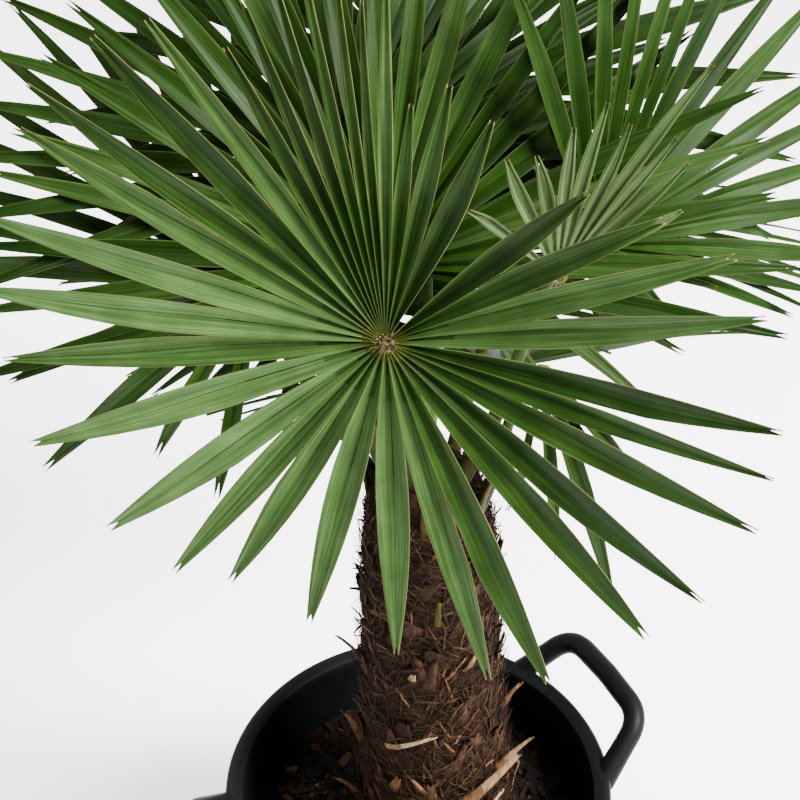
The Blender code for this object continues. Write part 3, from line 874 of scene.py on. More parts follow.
@dataclass
class Trunk:
    """The short trunk: matted fibre over a leaning shaft, with the flat bases of old leaves."""

    foot: Vector = field(default_factory=lambda: Vector((0.0156, -0.0090, 0.2603)))
    head: Vector = field(default_factory=lambda: Vector((0.0056, -0.0029, 0.740)))
    radii: tuple[tuple[float, float], ...] = (
        (0.00, 0.084), (0.05, 0.079), (0.16, 0.073), (0.40, 0.067),
        (0.70, 0.063), (0.90, 0.060), (1.00, 0.054), (1.09, 0.036), (1.14, 0.014))
    sides: int = 168
    rings: int = 190
    base_count: int = 28
    base_width: float = 0.021
    loose_bases: int = 46
    shreds: int = 1500
    threads: int = 11000
    golden: float = 137.508

    TORN = (
        Strap(160, 0.414, 0.014, 0.046, 0.018, 3, -0.10, 0.004, 212),
        Strap(155, 0.528, 0.006, 0.038, 0.026, 3, -0.10, 0.003, 215),
        Strap(165, 0.325, 0.015, 0.052, 0.030, 3, 0.00, 0.004, 212),
        Strap(200, 0.459, 0.0075, 0.072, 0.007, 5, 0.82, 0.006),
        Strap(206, 0.398, 0.013, 0.040, 0.008, 3, 0.30, 0.005),
        Strap(224, 0.570, 0.010, 0.016, 0.003, 4, 0.20, 0.006),
        Strap(234, 0.405, 0.010, 0.038, 0.007, 3, -0.35, 0.005),
        Strap(262, 0.382, 0.015, 0.072, 0.022, 4, 0.72, 0.005, 246),
        Strap(268, 0.576, 0.008, 0.038, 0.006, 4, 0.35, 0.005),
        Strap(300, 0.396, 0.013, 0.044, 0.030, 4, 0.50, 0.004, 255),
        Strap(282, 0.345, 0.016, 0.052, 0.014, 5, 0.20, 0.005),
        Strap(316, 0.470, 0.009, 0.036, 0.018, 3, 0.20, 0.004, 270),
        Strap(248, 0.300, 0.018, 0.046, 0.012, 4, -0.30, 0.005),
        Strap(196, 0.276, 0.018, 0.040, 0.012, 4, 0.10, 0.006),
        Strap(40, 0.405, 0.020, 0.050, 0.018, 4, -0.30, 0.005),
        Strap(95, 0.435, 0.016, 0.046, 0.020, 3, 0.40, 0.005, 70),
        Strap(352, 0.410, 0.014, 0.052, 0.020, 4, 0.50, 0.005, 20),
        Strap(120, 0.360, 0.016, 0.044, 0.022, 3, 0.20, 0.005, 90),
        Strap(10, 0.480, 0.008, 0.062, 0.007, 5, 0.75, 0.005),
        Strap(68, 0.330, 0.016, 0.050, 0.014, 5, 0.10, 0.005),
        Strap(350, 0.282, 0.020, 0.045, 0.015, 4, 0.00, 0.005),
        Strap(80, 0.560, 0.006, 0.024, 0.006, 4, -0.40, 0.004),
    )

    GREEN = (
        (238, 0.742, 0.082, 0.0050), (189, 0.738, 0.044, 0.0046), (300, 0.725, 0.070, 0.0060),
        (337, 0.720, 0.050, 0.0060), (140, 0.720, 0.065, 0.0060), (20, 0.715, 0.075, 0.0065),
        (68, 0.720, 0.060, 0.0060), (104, 0.710, 0.070, 0.0060), (246, 0.646, 0.036, 0.0026),
        (262, 0.735, 0.050, 0.0050),
    )

    def build(self) -> None:
        """Make the shaft, the leaf bases, the threads and the green stubs."""
        self.browns = [
            BarkFinish("base_dark", (0.0020, 0.0009, 0.0004), (0.0150, 0.0068, 0.0028)).material(),
            BarkFinish("base_brown", (0.0040, 0.0018, 0.0007), (0.0280, 0.0135, 0.0060)).material(),
            BarkFinish("base_russet", (0.0075, 0.0032, 0.0012), (0.0450, 0.0215, 0.0088)).material(),
            BarkFinish("base_orange", (0.0240, 0.0105, 0.0036), (0.0880, 0.0440, 0.0180)).material(),
            BarkFinish("base_tan", (0.0520, 0.0290, 0.0140), (0.1500, 0.0930, 0.0500)).material(),
            BarkFinish("base_straw", (0.1200, 0.0780, 0.0420), (0.2600, 0.1850, 0.1100)).material(),
        ]
        self.shaft()
        self.bases()
        self.torn_sheaths()
        self.hair()
        self.stubs()

    def centre(self, share: float) -> Vector:
        """Middle of the trunk at a share of its height."""
        return self.foot.lerp(self.head, share)

    def radius(self, share: float) -> float:
        """Half width at a share of the height.

        Args:
            share: 0 at the soil, 1 at the crown.

        Returns:
            The half width in metres.
        """
        for (low, wide), (high, narrow) in zip(self.radii, self.radii[1:]):
            if share <= high:
                return wide + (narrow - wide) * (share - low) / (high - low)
        return self.radii[-1][1]

    def relief(self, azimuth: float, height: float) -> float:
        """Height of the matted fibre at a place.

        Args:
            azimuth: Angle round the trunk in radians.
            height: Height in metres.

        Returns:
            How far the surface stands out, in metres.
        """
        ring = Vector((math.cos(azimuth), math.sin(azimuth), 0.0)) * 1.6
        lumps = noise.noise(Vector((ring.x * 1.6, ring.y * 1.6, height * 26)))
        drift = 2.2 * noise.noise(Vector((ring.x * 2.4, ring.y * 2.4, height * 40)))
        weave = math.sin(azimuth * 23 + height * 310 + drift * 2) + math.sin(azimuth * 27 - height * 350 + drift * 3)
        fine = noise.fractal(Vector((ring.x * 12, ring.y * 12, height * 95)), 0.8, 2.0, 3)
        return 0.0026 * lumps + 0.0006 * weave + 0.0010 * fine

    def surface(self, azimuth: float, height: float, lift: float = 0.0) -> Vector:
        """A point on the fibre or off it.

        Args:
            azimuth: Angle round the trunk in radians.
            height: Height in metres.
            lift: Distance off the surface.

        Returns:
            The point.
        """
        share = (height - self.foot.z) / (self.head.z - self.foot.z)
        out = Vector((math.cos(azimuth), math.sin(azimuth), 0.0))
        return self.centre(share) + out * (self.radius(share) + self.relief(azimuth, height) + lift)

    def shaft(self) -> None:
        """Extrude the shaft ring by ring and press the relief into it."""
        top = self.radii[-1][0] * (self.head.z - self.foot.z)
        bm = bmesh.new()
        line = [Vector((0, 0, top * k / self.rings)) for k in range(self.rings + 1)]
        made = tube(bm, line, [1.0] * len(line), self.sides, up=Vector((0, 1, 0)))
        for vert in made:
            azimuth = math.atan2(vert.co.y, vert.co.x)
            height = vert.co.z
            fade = blend(0.0, 0.012, height)
            share = height / (self.head.z - self.foot.z)
            out = Vector((math.cos(azimuth), math.sin(azimuth), 0.0))
            rough = self.relief(azimuth, height + self.foot.z) * fade
            vert.co = self.centre(share) + out * (self.radius(share) + rough - 0.0012)
        bmesh.ops.recalc_face_normals(bm, faces=bm.faces)
        finish = BarkFinish("fibre_mat", (0.0012, 0.0005, 0.0002), (0.020, 0.0092, 0.0038)).material()
        dress(bm, "trunk_fibre", [finish], ("trunk",), 60.0)

    def all_straps(self) -> list[Strap]:
        """The leaf bases in their spiral, looser ones between them, and the torn ones low down.

        Returns:
            Every strap.
        """
        rng = random.Random(7)
        straps = list(self.TORN)
        tall = self.head.z - self.foot.z
        for index in range(self.base_count):
            share = 0.07 + 0.80 * (index + 0.5) / self.base_count
            azimuth = index * self.golden + rng.uniform(-8, 8)
            straps.append(Strap(azimuth, self.foot.z + share * tall - 0.012, self.base_width * rng.uniform(0.9, 1.15),
                                0.044, 0.0065, 1 if share > 0.3 else 2))
        rng = random.Random(19)
        for index in range(self.loose_bases):
            share = 0.01 + 0.90 * (index + rng.random()) / self.loose_bases
            low = max(0.0, 1 - share * 3.2)
            tone = rng.choices((0, 1, 2, 3, 4), (3, 3, 1.4, 0.4 + 1.8 * low, 0.1 + 1.0 * low))[0]
            straps.append(Strap(index * 137.508 + 61 + rng.uniform(-20, 20), self.foot.z + share * tall,
                                rng.uniform(0.010, 0.027), rng.uniform(0.026, 0.058), rng.uniform(0.002, 0.007),
                                tone, rng.gauss(0, 0.35)))
        return straps

    def bases(self) -> None:
        """Lay the leaf bases on the trunk, each with a torn upper end."""
        rng = random.Random(23)
        sheaf = Sheaf()
        columns = (-1.0, -0.78, -0.55, -0.3, -0.05, 0.22, 0.48, 0.74, 1.0)
        rows = 8
        for strap in self.all_straps():
            ends = [rng.uniform(0.80, 1.0) for _ in columns]
            bend = rng.uniform(0.45, 0.85)
            facing = math.radians(strap.azimuth if strap.facing is None else strap.facing)
            grid, slots, places = [], [], []
            for j in range(rows):
                row, place = [], []
                for column, end in zip(columns, ends):
                    t = j / (rows - 1) * end
                    along = strap.length * t
                    height = strap.height + along * math.cos(strap.lean)
                    share = (height - self.foot.z) / (self.head.z - self.foot.z)
                    swing = along * math.sin(strap.lean) / self.radius(share)
                    turned = facing + (swing if strap.facing is None else 0.0)
                    face = Vector((math.cos(turned), math.sin(turned), 0.25 * (strap.facing is not None)))
                    aside = column * strap.width / 2 * (1 - bend * t)
                    arch = 0.0016 * (1 - column**2) - aside**2 / 0.14
                    lift = strap.raised + strap.stand * t**1.8 + 0.004 * blend(0, 0.25, t) - 0.0025
                    azimuth = math.radians(strap.azimuth) + swing
                    out = Vector((math.cos(azimuth), math.sin(azimuth), 0.0))
                    rise = UP * math.cos(strap.lean) + UP.cross(out) * math.sin(strap.lean)
                    across = (rise + out * (strap.stand / strap.length)).cross(face).normalized()
                    middle = self.centre(share) + out * (self.radius(share) + lift)
                    row.append(middle + across * aside + face * arch)
                    place.append((t, column))
                grid.append(row)
                places.append(place)
                tone = strap.tone if j > 2 or strap.tone < 2 else max(1, strap.tone - 1)
                slots.append([tone] * (len(columns) - 1))
            sheaf.grid([list(reversed(row)) for row in grid], slots, places)
        piece = dress(sheaf.bmesh(), "leaf_bases", self.browns, (), 35.0)
        thicken(piece, 0.0011)

    def torn_sheaths(self) -> None:
        """Lay narrow torn strips of leaf sheath over the trunk, slanting both ways."""
        rng = random.Random(57)
        sheaf = Sheaf()
        tall = self.head.z - self.foot.z
        for _ in range(self.shreds):
            azimuth = rng.uniform(0, 2 * math.pi)
            start = self.foot.z + tall * rng.uniform(0.0, 1.0)
            slant = rng.choice((-1, 1)) * abs(rng.gauss(0.35, 0.4))
            length, half = rng.uniform(0.018, 0.050), rng.uniform(0.0006, 0.0019)
            stand = rng.choice((0.001, 0.002, 0.004, 0.009)) * rng.uniform(0.6, 1.4)
            tone = rng.choices((0, 1, 2, 3), (4, 4, 2, 0.6))[0]
            rows, slots, places = [], [], []
            for step in range(6):
                t = step / 5
                height = min(start + length * t * math.cos(slant), self.head.z + 0.045)
                share = (height - self.foot.z) / tall
                swing = length * t * math.sin(slant) / max(0.03, self.radius(share))
                lift = -0.0012 + 0.0028 * blend(0, 0.3, t) + stand * t**1.7
                middle = self.surface(azimuth + swing, height, lift)
                aside = Vector((-math.sin(azimuth), math.cos(azimuth), 0.0)) * (half * (1 - 0.75 * t**2))
                rise = UP * (-math.sin(slant) * half * 0.8)
                rows.append([middle + aside + rise, middle, middle - aside - rise])
                places.append([(t, 0.0), (t, 0.5), (t, 1.0)])
                slots.append([tone, tone])
            sheaf.grid(rows, slots[:-1], places)
        piece = dress(sheaf.bmesh(), "torn_sheaths", self.browns[:4], (), 35.0)
        thicken(piece, 0.0004)

    def hair(self) -> None:
        """Wind threads over the trunk, most of them slanting, and some ends standing out."""
        rng = random.Random(41)
        sheaves = [Sheaf(), Sheaf(), Sheaf()]
        tall = self.head.z - self.foot.z
        for _ in range(self.threads):
            azimuth = rng.uniform(0, 2 * math.pi)
            start = self.foot.z + tall * rng.uniform(0.0, 1.04)
            slant = rng.choice((-1, 1)) * rng.uniform(0.15, 1.25)
            length = rng.uniform(0.020, 0.072)
            loose = rng.random() < 0.34
            base = rng.uniform(0.0001, 0.0030)
            flare = rng.uniform(0.004, 0.017) if loose else -0.0015
            curl = rng.uniform(-0.5, 0.5)
            line = []
            for step in range(7):
                t = step / 6
                bent = slant + curl * t
                height = start + length * t * math.cos(bent)
                height = max(self.foot.z + 0.001, min(height, self.head.z + 0.055))
                share = (height - self.foot.z) / tall
                swing = length * t * math.sin(bent) / max(0.03, self.radius(share))
                lift = base * math.sin(math.pi * min(1.0, t * 1.2 + 0.1)) + flare * max(0.0, t - 0.35)**1.5 * 1.9
                line.append(self.surface(azimuth + swing, height, lift if step else -0.0012))
            tone = rng.choices((0, 1, 2), (4, 3, 0.6 + 1.6 * (1 - (start - self.foot.z) / tall)))[0]
            sheaves[tone].strand(line, rng.choice((0.00013, 0.00017, 0.00022, 0.00034)), 0, 3, 0.5)
        for name, sheaf, tone in zip(("threads_dark", "threads_brown", "threads_tan"), sheaves,
                                     ((0.0042, 0.0018, 0.0007), (0.0155, 0.0073, 0.0031), (0.040, 0.0230, 0.0115))):
            finish = PlainFinish(name, tone, 0.8).material()
            dress(sheaf.bmesh(), name, [finish], (), 80.0)

    def stubs(self) -> None:
        """Stand cut green leaf stalks round the top of the trunk."""
        bm = bmesh.new()
        for azimuth, height, length, half in self.GREEN:
            angle = math.radians(azimuth)
            out = Vector((math.cos(angle), math.sin(angle), 0.0))
            foot = self.surface(angle, height, -0.004 if half > 0.003 else 0.003)
            line = [foot + UP * (length * t) + out * (0.014 * t * t * length / 0.08) for t in
                    (0.0, 0.2, 0.4, 0.6, 0.8, 1.0)]
            tube(bm, line, [half * (1.35 - 0.7 * k / 5) for k in range(6)], 10, 0.5, out.cross(UP).cross(UP), 0)
        finish = StreakFinish("stub_olive", (0.0200, 0.0190, 0.0026)).material()
        dress(bm, "green_stubs", [finish], (), 40.0)


def evenly(first: int, last: int, step: int, length: float) -> Leaves:
    """Leaflets of one length at even headings."""
    return tuple((heading, length) for heading in range(first, last, step))


# Leaflets as headings in degrees from the fan's middle and lengths in metres
FRONT_LEAVES = (
    (-176, 0.221), (-167, 0.235), (-161, 0.212), (-156, 0.309), (-152, 0.286), (-149, 0.309),
    (-145, 0.310), (-141, 0.303), (-136, 0.291), (-131, 0.260), (-123, 0.299), (-114, 0.309),
    (-102, 0.317), (-94, 0.305), (-78, 0.318), (-65, 0.322), (-54, 0.309), (-38, 0.321),
    (-21, 0.315), (-10, 0.308), (-1, 0.285), (13, 0.288), (29, 0.298), (43, 0.319), (51, 0.329),
    (70, 0.313), (80, 0.312), (96, 0.305), (106, 0.299), (114, 0.296), (133, 0.288),
    (144, 0.282), (154, 0.250), (164, 0.218),
)
LEFT_LEAVES = evenly(-140, -35, 10, 0.210) + evenly(-35, 0, 10, 0.300) + (
    (2, 0.36), (10, 0.35), (19, 0.34), (27, 0.33), (37, 0.32), (45, 0.29), (53, 0.31),
    (77, 0.254), (94, 0.271), (109, 0.197), (127, 0.208),
)
RIGHT_LEAVES = (
    (-58, 0.235), (-52, 0.26), (-44, 0.30), (-33, 0.32), (-24, 0.31), (-15, 0.33), (-7, 0.32),
    (7, 0.33), (16, 0.32), (26, 0.33), (33, 0.31), (40, 0.32), (48, 0.31), (56, 0.32),
    (66, 0.30), (76, 0.28),
)
YOUNG_LEAVES = (
    (-51, 0.116), (-38, 0.150), (-30, 0.164), (-24, 0.240), (-18, 0.159), (-8, 0.174), (-1, 0.147),
    (9, 0.121), (22, 0.125), (44, 0.100),
)
RIGHT_LOW_LEAVES = ((-45, 0.120), (-26, 0.170), (-12, 0.231), (9, 0.152), (33, 0.125))
BACK_RIGHT_LEAVES = ((-134, 0.27), (-123, 0.19)) + evenly(-104, 166, 9, 0.310)
BACK_LEFT_LEAVES = evenly(-160, 36, 9, 0.310) + evenly(48, 160, 12, 0.220)
BACK_LOW_LEAVES = evenly(-72, 160, 9, 0.310)
LEFT_TOP_LEAVES = evenly(-150, 98, 9, 0.320)


@dataclass(frozen=True)
class Frond:
    """One leaf: where its hub stands round the crown, and how its fan is turned.

    Its leaflets are spread evenly, or leaves gives the heading and length of each.
    """

    name: str
    azimuth: float
    reach: float
    height: float
    facing: float
    lift: float
    swing: float = 0.0
    length: float = 0.31
    spread: float = 165.0
    leaflets: int = 30
    cup: float = 5.0
    sag: float = 0.015
    leaves: Leaves = ()
    shade: Shade = Shade.BACK
    slim: float = 0.74
    fold: float = 0.0066


# The fronds from the front round both sides to the back, then the low ones behind
FRONDS = (
    Frond("front", -136.7, 0.157, 1.054, -135.4, -86, swing=-24.5, sag=0.0, leaves=FRONT_LEAVES,
          shade=Shade.FRONT, slim=0.90),
    Frond("right", -4.7, 0.146, 0.980, -84, -72, swing=115, length=0.32, sag=0.03, leaves=RIGHT_LEAVES),
    Frond("top", 128, 0.050, 0.992, 65, 55, length=0.34, spread=104, leaflets=23),
    Frond("young", -59, 0.102, 1.037, 60, 82, length=0.19, cup=10, leaves=YOUNG_LEAVES,
          shade=Shade.YOUNG, slim=0.95, fold=0.0022),
    Frond("back_top", 62, 0.206, 1.039, 65, 40, length=0.33, leaflets=28),
    Frond("left_low", 116, 0.194, 0.900, 108, 32, length=0.32, sag=0.03, leaves=LEFT_LEAVES),
    Frond("left_top", 100, 0.128, 1.031, 80, 36, length=0.32, leaves=LEFT_TOP_LEAVES),
    Frond("right_low", -55, 0.092, 0.926, -94, -81, swing=27, length=0.20, sag=0.03,
          leaves=RIGHT_LOW_LEAVES),
    Frond("back_right", 43, 0.276, 0.868, 40, -19, sag=0.04, leaves=BACK_RIGHT_LEAVES),
    Frond("back_left", 83, 0.263, 0.789, 99, -13, sag=0.04, leaves=BACK_LEFT_LEAVES),
    Frond("back_low", 44, 0.264, 0.681, 69, -32, sag=0.04, leaves=BACK_LOW_LEAVES),
)


class Patch(Enum):
    """Places on a leaflet with colours of their own, as slots after the four greens. The groove's dark green is
    painted shade in the crease and the ridge's pale green a painted highlight on the fold; edge, tip, heart, halo and
    underside are the leaf's own colours.
    """

    GROOVE_SHADE = 4
    RIDGE_HIGHLIGHT = 5
    EDGE = 6
    TIP = 7
    HEART = 8
    HALO = 9
    UNDER = 10


@dataclass
class Greens:
    """The leaf finishes of one family of fronds, in slot order."""

    shade: Shade

    # Four greens a family. The front family's greens are dealt by the way a leaflet points: the dark ones are painted
    # shade and the pale greyish ones a painted sheen. The back family is darker throughout, painted shade of the
    # crown.
    TONES = {
        Shade.FRONT: ((0.0046, 0.0140, 0.0008), (0.0082, 0.0225, 0.0020), (0.0185, 0.0410, 0.0075),
                      (0.0345, 0.0700, 0.0175)),
        Shade.BACK: ((0.0026, 0.0085, 0.0004), (0.0037, 0.0110, 0.0007), (0.0054, 0.0145, 0.0013),
                     (0.0088, 0.0200, 0.0030)),
        Shade.YOUNG: ((0.0250, 0.0420, 0.0120), (0.0290, 0.0470, 0.0150), (0.0200, 0.0360, 0.0090),
                      (0.0350, 0.0530, 0.0190)),
    }
    # Colours of the patches, in Patch order. The groove's dark green is painted shade in the crease, and the ridge's
    # pale green a painted highlight on the fold.
    LINES = {
        Shade.FRONT: ((0.0026, 0.0085, 0.0004), (0.036, 0.056, 0.011), (0.050, 0.056, 0.016),
                      (0.085, 0.052, 0.018), (0.060, 0.060, 0.012), (0.024, 0.033, 0.004),
                      (0.012, 0.027, 0.004)),
        Shade.BACK: ((0.0018, 0.0058, 0.0003), (0.010, 0.019, 0.002), (0.017, 0.022, 0.005),
                     (0.040, 0.027, 0.010), (0.022, 0.027, 0.004), (0.010, 0.016, 0.002),
                     (0.006, 0.015, 0.002)),
        Shade.YOUNG: ((0.0150, 0.0270, 0.0065), (0.044, 0.060, 0.024), (0.048, 0.058, 0.024),
                      (0.060, 0.044, 0.018), (0.046, 0.058, 0.020), (0.040, 0.052, 0.016),
                      (0.026, 0.042, 0.013)),
    }
    # Share of painted sheen that each green adds to its palest streaks.
    SHEEN_BY_SLOT = {Shade.FRONT: (0.35, 0.45, 0.85, 1.0), Shade.BACK: (0.0, 0.1, 0.2, 0.4),
              Shade.YOUNG: (1.0, 1.0, 0.6, 1.0)}
    SHINE = {Shade.FRONT: 0.032, Shade.BACK: 0.030, Shade.YOUNG: 0.030}

    def materials(self) -> list[bpy.types.Material]:
        """Build the family's finishes.

        Returns:
            The four greens, then one for each patch.
        """
        family, shine = self.shade.value, self.SHINE[self.shade]
        made = [LeafFinish(f"leaf_{family}_{index}", tone, shine=shine, painted_sheen=painted_sheen).material()
                for index, (tone, painted_sheen) in enumerate(zip(self.TONES[self.shade], self.SHEEN_BY_SLOT[self.shade]), 1)]
        for patch, tone in zip(Patch, self.LINES[self.shade]):
            made.append(LeafFinish(f"leaf_{family}_{patch.name.lower()}", tone, 0.0001, 0.50, shine).material())
        return made


@dataclass
class Fan:
    """The fan of one frond: leaflets in a ring, joined near the hub and free further out."""

    frond: Frond
    rng: random.Random
    axis: Vector = field(default_factory=lambda: Vector((0.0134, -0.0074, 0.0)))
    thickness: float = 0.0005
    hub_depth: float = 0.0080
    packed_thickness: float = 0.0034
    split_at: float = 0.40
    widest_at: float = 0.54
    leaflet_width: float = 0.100
    pleat: float = 0.0050
    lifts: tuple[int, ...] = (0, 3, -3, 6, -6, 10, -10, 15, -15)
    cuts: tuple[float, ...] = (1.0, 0.82, 0.66)
    columns: tuple[tuple[float, float], ...] = (
        (-1.0, 0.0), (-0.955, 0.0), (-0.66, 0.00050), (-0.34, -0.00020), (-0.035, 0.0),
        (0.035, 0.0), (0.34, -0.00020), (0.66, 0.00050), (0.955, 0.0), (1.0, 0.0))
    disc_radii: tuple[float, ...] = (0.004, 0.010, 0.018, 0.030, 0.054, 0.088)
    free_shares: tuple[float, ...] = (0.0, 0.05, 0.13, 0.28, 0.46, 0.64, 0.82, 1.0)
    brown_tip: float = 0.0026
    # The way that the front fan's leaflets point to take the painted sheen.
    sheen_side: Vector = field(default_factory=lambda: Vector((-0.866, 0.5, 0.0)))

    def __post_init__(self) -> None:
        """Work out the fan's directions, and the headings and lengths of its leaflets."""
        frond = self.frond
        facing, lift = math.radians(frond.facing), math.radians(frond.lift)
        out = Vector((math.cos(facing), math.sin(facing), 0.0))
        middle = out * math.cos(lift) + UP * math.sin(lift)
        self.face = UP * math.cos(lift) - out * math.sin(lift)
        side = self.face.cross(middle)
        swing = math.radians(frond.swing)
        self.middle = middle * math.cos(swing) + side * math.sin(swing)
        self.side = self.face.cross(self.middle)
        azimuth = math.radians(frond.azimuth)
        away = Vector((math.cos(azimuth), math.sin(azimuth), 0.0)) * frond.reach
        self.hub = self.axis + away + UP * frond.height
        leaves = frond.leaves or self.even_leaves()
        self.headings = [heading for heading, _ in leaves]
        self.lengths = [length for _, length in leaves]
        h = self.headings
        inner = [(a + b) / 2 for a, b in zip(h, h[1:])]
        self.ridges = [1.5 * h[0] - 0.5 * h[1], *inner, 1.5 * h[-1] - 0.5 * h[-2]]

    def even_leaves(self) -> Leaves:
        """Leaflets spread over the fan with a little unevenness, shorter beside the stalk.

        Returns:
            The heading and length of each.
        """
        frond = self.frond
        step = 2 * frond.spread / frond.leaflets
        leaves = []
        for index in range(frond.leaflets):
            heading = -frond.spread + step * (index + 0.5 + self.rng.uniform(-0.16, 0.16))
            beside_stalk = max(0.0, abs(heading) - 105) / 70
            share = (1 - 0.38 * beside_stalk**1.4) * self.rng.uniform(0.94, 1.02)
            leaves.append((heading, frond.length * share))
        return tuple(leaves)

    def direction(self, heading: float) -> Vector:
        """The way out from the hub at a heading in degrees."""
        angle = math.radians(heading)
        return self.middle * math.cos(angle) + self.side * math.sin(angle)

    def place(self, heading: float, radius: float, bend: float = 0.0, height: float = 0.0,
              across: float = 0.0) -> Vector:
        """A point on the fan, raised by its cup and lowered by its weight.

        Args:
            heading: Angle from the fan's middle in degrees.
            radius: Distance from the hub.
            bend: Turn of the free part out of the fan, in degrees.
            height: Distance off the fan.
            across: Distance to the side of the heading.

        Returns:
            The point.
        """
        frond = self.frond
        split = self.split_at * frond.length
        raised = radius * math.tan(math.radians(frond.cup))
        raised += max(0.0, radius - split) * math.tan(math.radians(bend))
        lowered = frond.sag * (radius / frond.length)**2
        level = self.hub + self.direction(heading) * radius + self.direction(heading + 90) * across
        return level + self.face * (raised + height) - UP * lowered

    def choice(self, index: int, packed: CadPoints) -> tuple[float, float] | None:
        """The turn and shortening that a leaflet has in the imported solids.

        Args:
            index: The leaflet.
            packed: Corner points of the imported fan.

        Returns:
            The turn in degrees and the share of its length, or None where it is left out.
        """
        found = []
        for cut in self.cuts:
            for bend in self.lifts:
                tip = self.place(self.headings[index], self.lengths[index] * cut, bend,
                                 -(self.pleat + self.packed_thickness) / 2)
                found.append((packed.off(tip), bend, cut))
        off, bend, cut = min(found)
        return (bend, cut) if off < 0.0004 else None

    def tone(self, heading: float, rng: random.Random) -> int:
        """Which of the four greens a leaflet takes. On the front fan it goes by the way the leaflet points, to paint
        light and shade: leaflets pointing left take the pale greyish greens as a painted sheen, those pointing up or
        down to the right take the darker greens as painted shade, and the rest the middle greens; on other fans it is
        dealt at random.

        Args:
            heading: The leaflet's heading.
            rng: Source of the deal.

        Returns:
            The slot.
        """
        if self.frond.shade is not Shade.FRONT:
            return rng.choices((0, 1, 2, 3), (3, 4, 3, 1))[0]
        along = self.direction(heading)
        left = along.dot(self.sheen_side)
        if left > (0.80 if along.z > 0 else 0.62):
            return rng.choices((2, 3), (1, 5))[0]
        if along.z < 0 and left > -0.60:
            return rng.choices((1, 2), (1, 6))[0]
        if along.z < 0:
            return rng.choices((0, 1, 2), (1, 4, 1))[0]
        if left < -0.92:
            return rng.choices((1, 2), (1, 4))[0]
        return rng.choices((0, 1, 2), (4, 8, 1))[0]

    def leaflet(self, sheaf: Sheaf, index: int, bend: float, cut: float, rng: random.Random) -> None:
        """Add one leaflet, from the hub to its split tip.

        Args:
            sheaf: The fan's mesh.
            index: The leaflet.
            bend: Turn of its free part in degrees.
            cut: Share of its length that is kept.
            rng: Source of its own bow, droop and notch.
        """
        heading, length = self.headings[index], self.lengths[index] * cut
        rooms = (heading - self.ridges[index], self.ridges[index + 1] - heading)
        split = self.split_at * self.frond.length
        widest = max(self.widest_at * length, split + 0.18 * (length - split))
        across = math.radians(sum(rooms)) * widest * 0.90
        half = min(self.leaflet_width * self.lengths[index], across) / 2 * self.frond.slim
        bow, droop, twist = rng.uniform(-0.004, 0.004), rng.uniform(0.0, 0.004), rng.gauss(0, 0.10)
        notch, gape = rng.uniform(0.007, 0.014), min(rng.uniform(0.0013, 0.0028), half * 0.24)
        shift, green = (rng.uniform(0, 9), rng.uniform(0, 9)), self.tone(heading, rng)
        body = length - notch - split
        radii = [*(radius for radius in self.disc_radii if radius < split * 0.9),
                 *(split + body * share for share in self.free_shares), length - self.brown_tip, length]
        rows, slots, places = [], [], []
        for step, radius in enumerate(radii):
            free = max(0.0, (radius - split) / (length - split))
            depth = self.frond.fold * (1 - math.exp(-radius / 0.030)) * (1 - 0.82 * blend(0.0, 0.55, free))
            sink = -self.pleat / 3 * free**2 - droop * free**2
            inner = max(0.0, 1 - (length - radius) / notch) * 0.85
            own = self.half_width(radius, widest, half, length, gape)
            row = []
            for u, ripple in self.columns:
                room = radius * math.tan(math.radians(rooms[u > 0])) * (1 - 0.10 * blend(0.0, 0.2, free))
                wide = min(own, room)
                aside = math.copysign(wide * (inner + (1 - inner) * abs(u)), u) + bow * free**2
                height = -depth * (1 - abs(u)) + ripple * min(1.0, radius / split) + sink + twist * aside * free
                row.append(self.place(heading, radius, bend, height, aside))
            rows.append(row)
            places.append([(radius * 6 + shift[0], u * 0.5 + shift[1]) for u, _ in self.columns])
            if step + 1 < len(radii):
                slots.append(self.row_slots(radii[step + 1], split, length, notch, green))
        sheaf.grid(rows, slots, places)

    def half_width(self, radius: float, widest: float, half: float, length: float, gape: float) -> float:
        """A leaflet's own half width at a distance from the hub.

        Args:
            radius: The distance.
            widest: Distance of the greatest width.
            half: The greatest half width.
            length: The leaflet's length.
            gape: Half width at the two points of the tip.

        Returns:
            The half width in metres.
        """
        if radius < widest:
            return half * (1 - (1 - radius / widest)**2.2)
        share = (radius - widest) / (length - widest)
        return gape + (half - gape) * (1 - share**1.7)

    def row_slots(self, outer: float, split: float, length: float, notch: float, green: int) -> list[int]:
        """Materials of one row of quads.

        Args:
            outer: Distance of the row's outer side from the hub.
            split: Distance at which the leaflet comes free.
            length: The leaflet's length.
            notch: Depth of the notch in its tip.
            green: The leaflet's own green.

        Returns:
            A slot for each quad, or -1 for the notch.
        """
        # In the disc the edges are the fold ridges, pale with a painted highlight.
        edge = Patch.EDGE.value if outer > split * 1.02 else Patch.RIDGE_HIGHLIGHT.value
        # The groove is painted shade in the crease: one green darker on the free part, the dark groove colour in the
        # disc.
        blade, groove = green, max(0, green - 1) if outer > split else Patch.GROOVE_SHADE.value
        if outer < 0.011:
            edge = blade = groove = Patch.HEART.value
        elif outer < 0.020:
            edge, blade = Patch.HEART.value, Patch.HALO.value
        elif outer < 0.032:
            edge = Patch.HEART.value
        to_tip = length - outer
        if to_tip < self.brown_tip * 0.5:
            edge = blade = Patch.TIP.value
        if to_tip < notch * 0.98:
            groove = -1
        # Near the hub the columns beside the groove darken too, painted shade in the deep pleat valleys.
        deep = blade
        if 0.020 < outer < 0.060:
            deep = Patch.GROOVE_SHADE.value if outer < 0.032 else max(0, green - 1)
        return [edge, blade, blade, deep, groove, deep, blade, blade, edge]

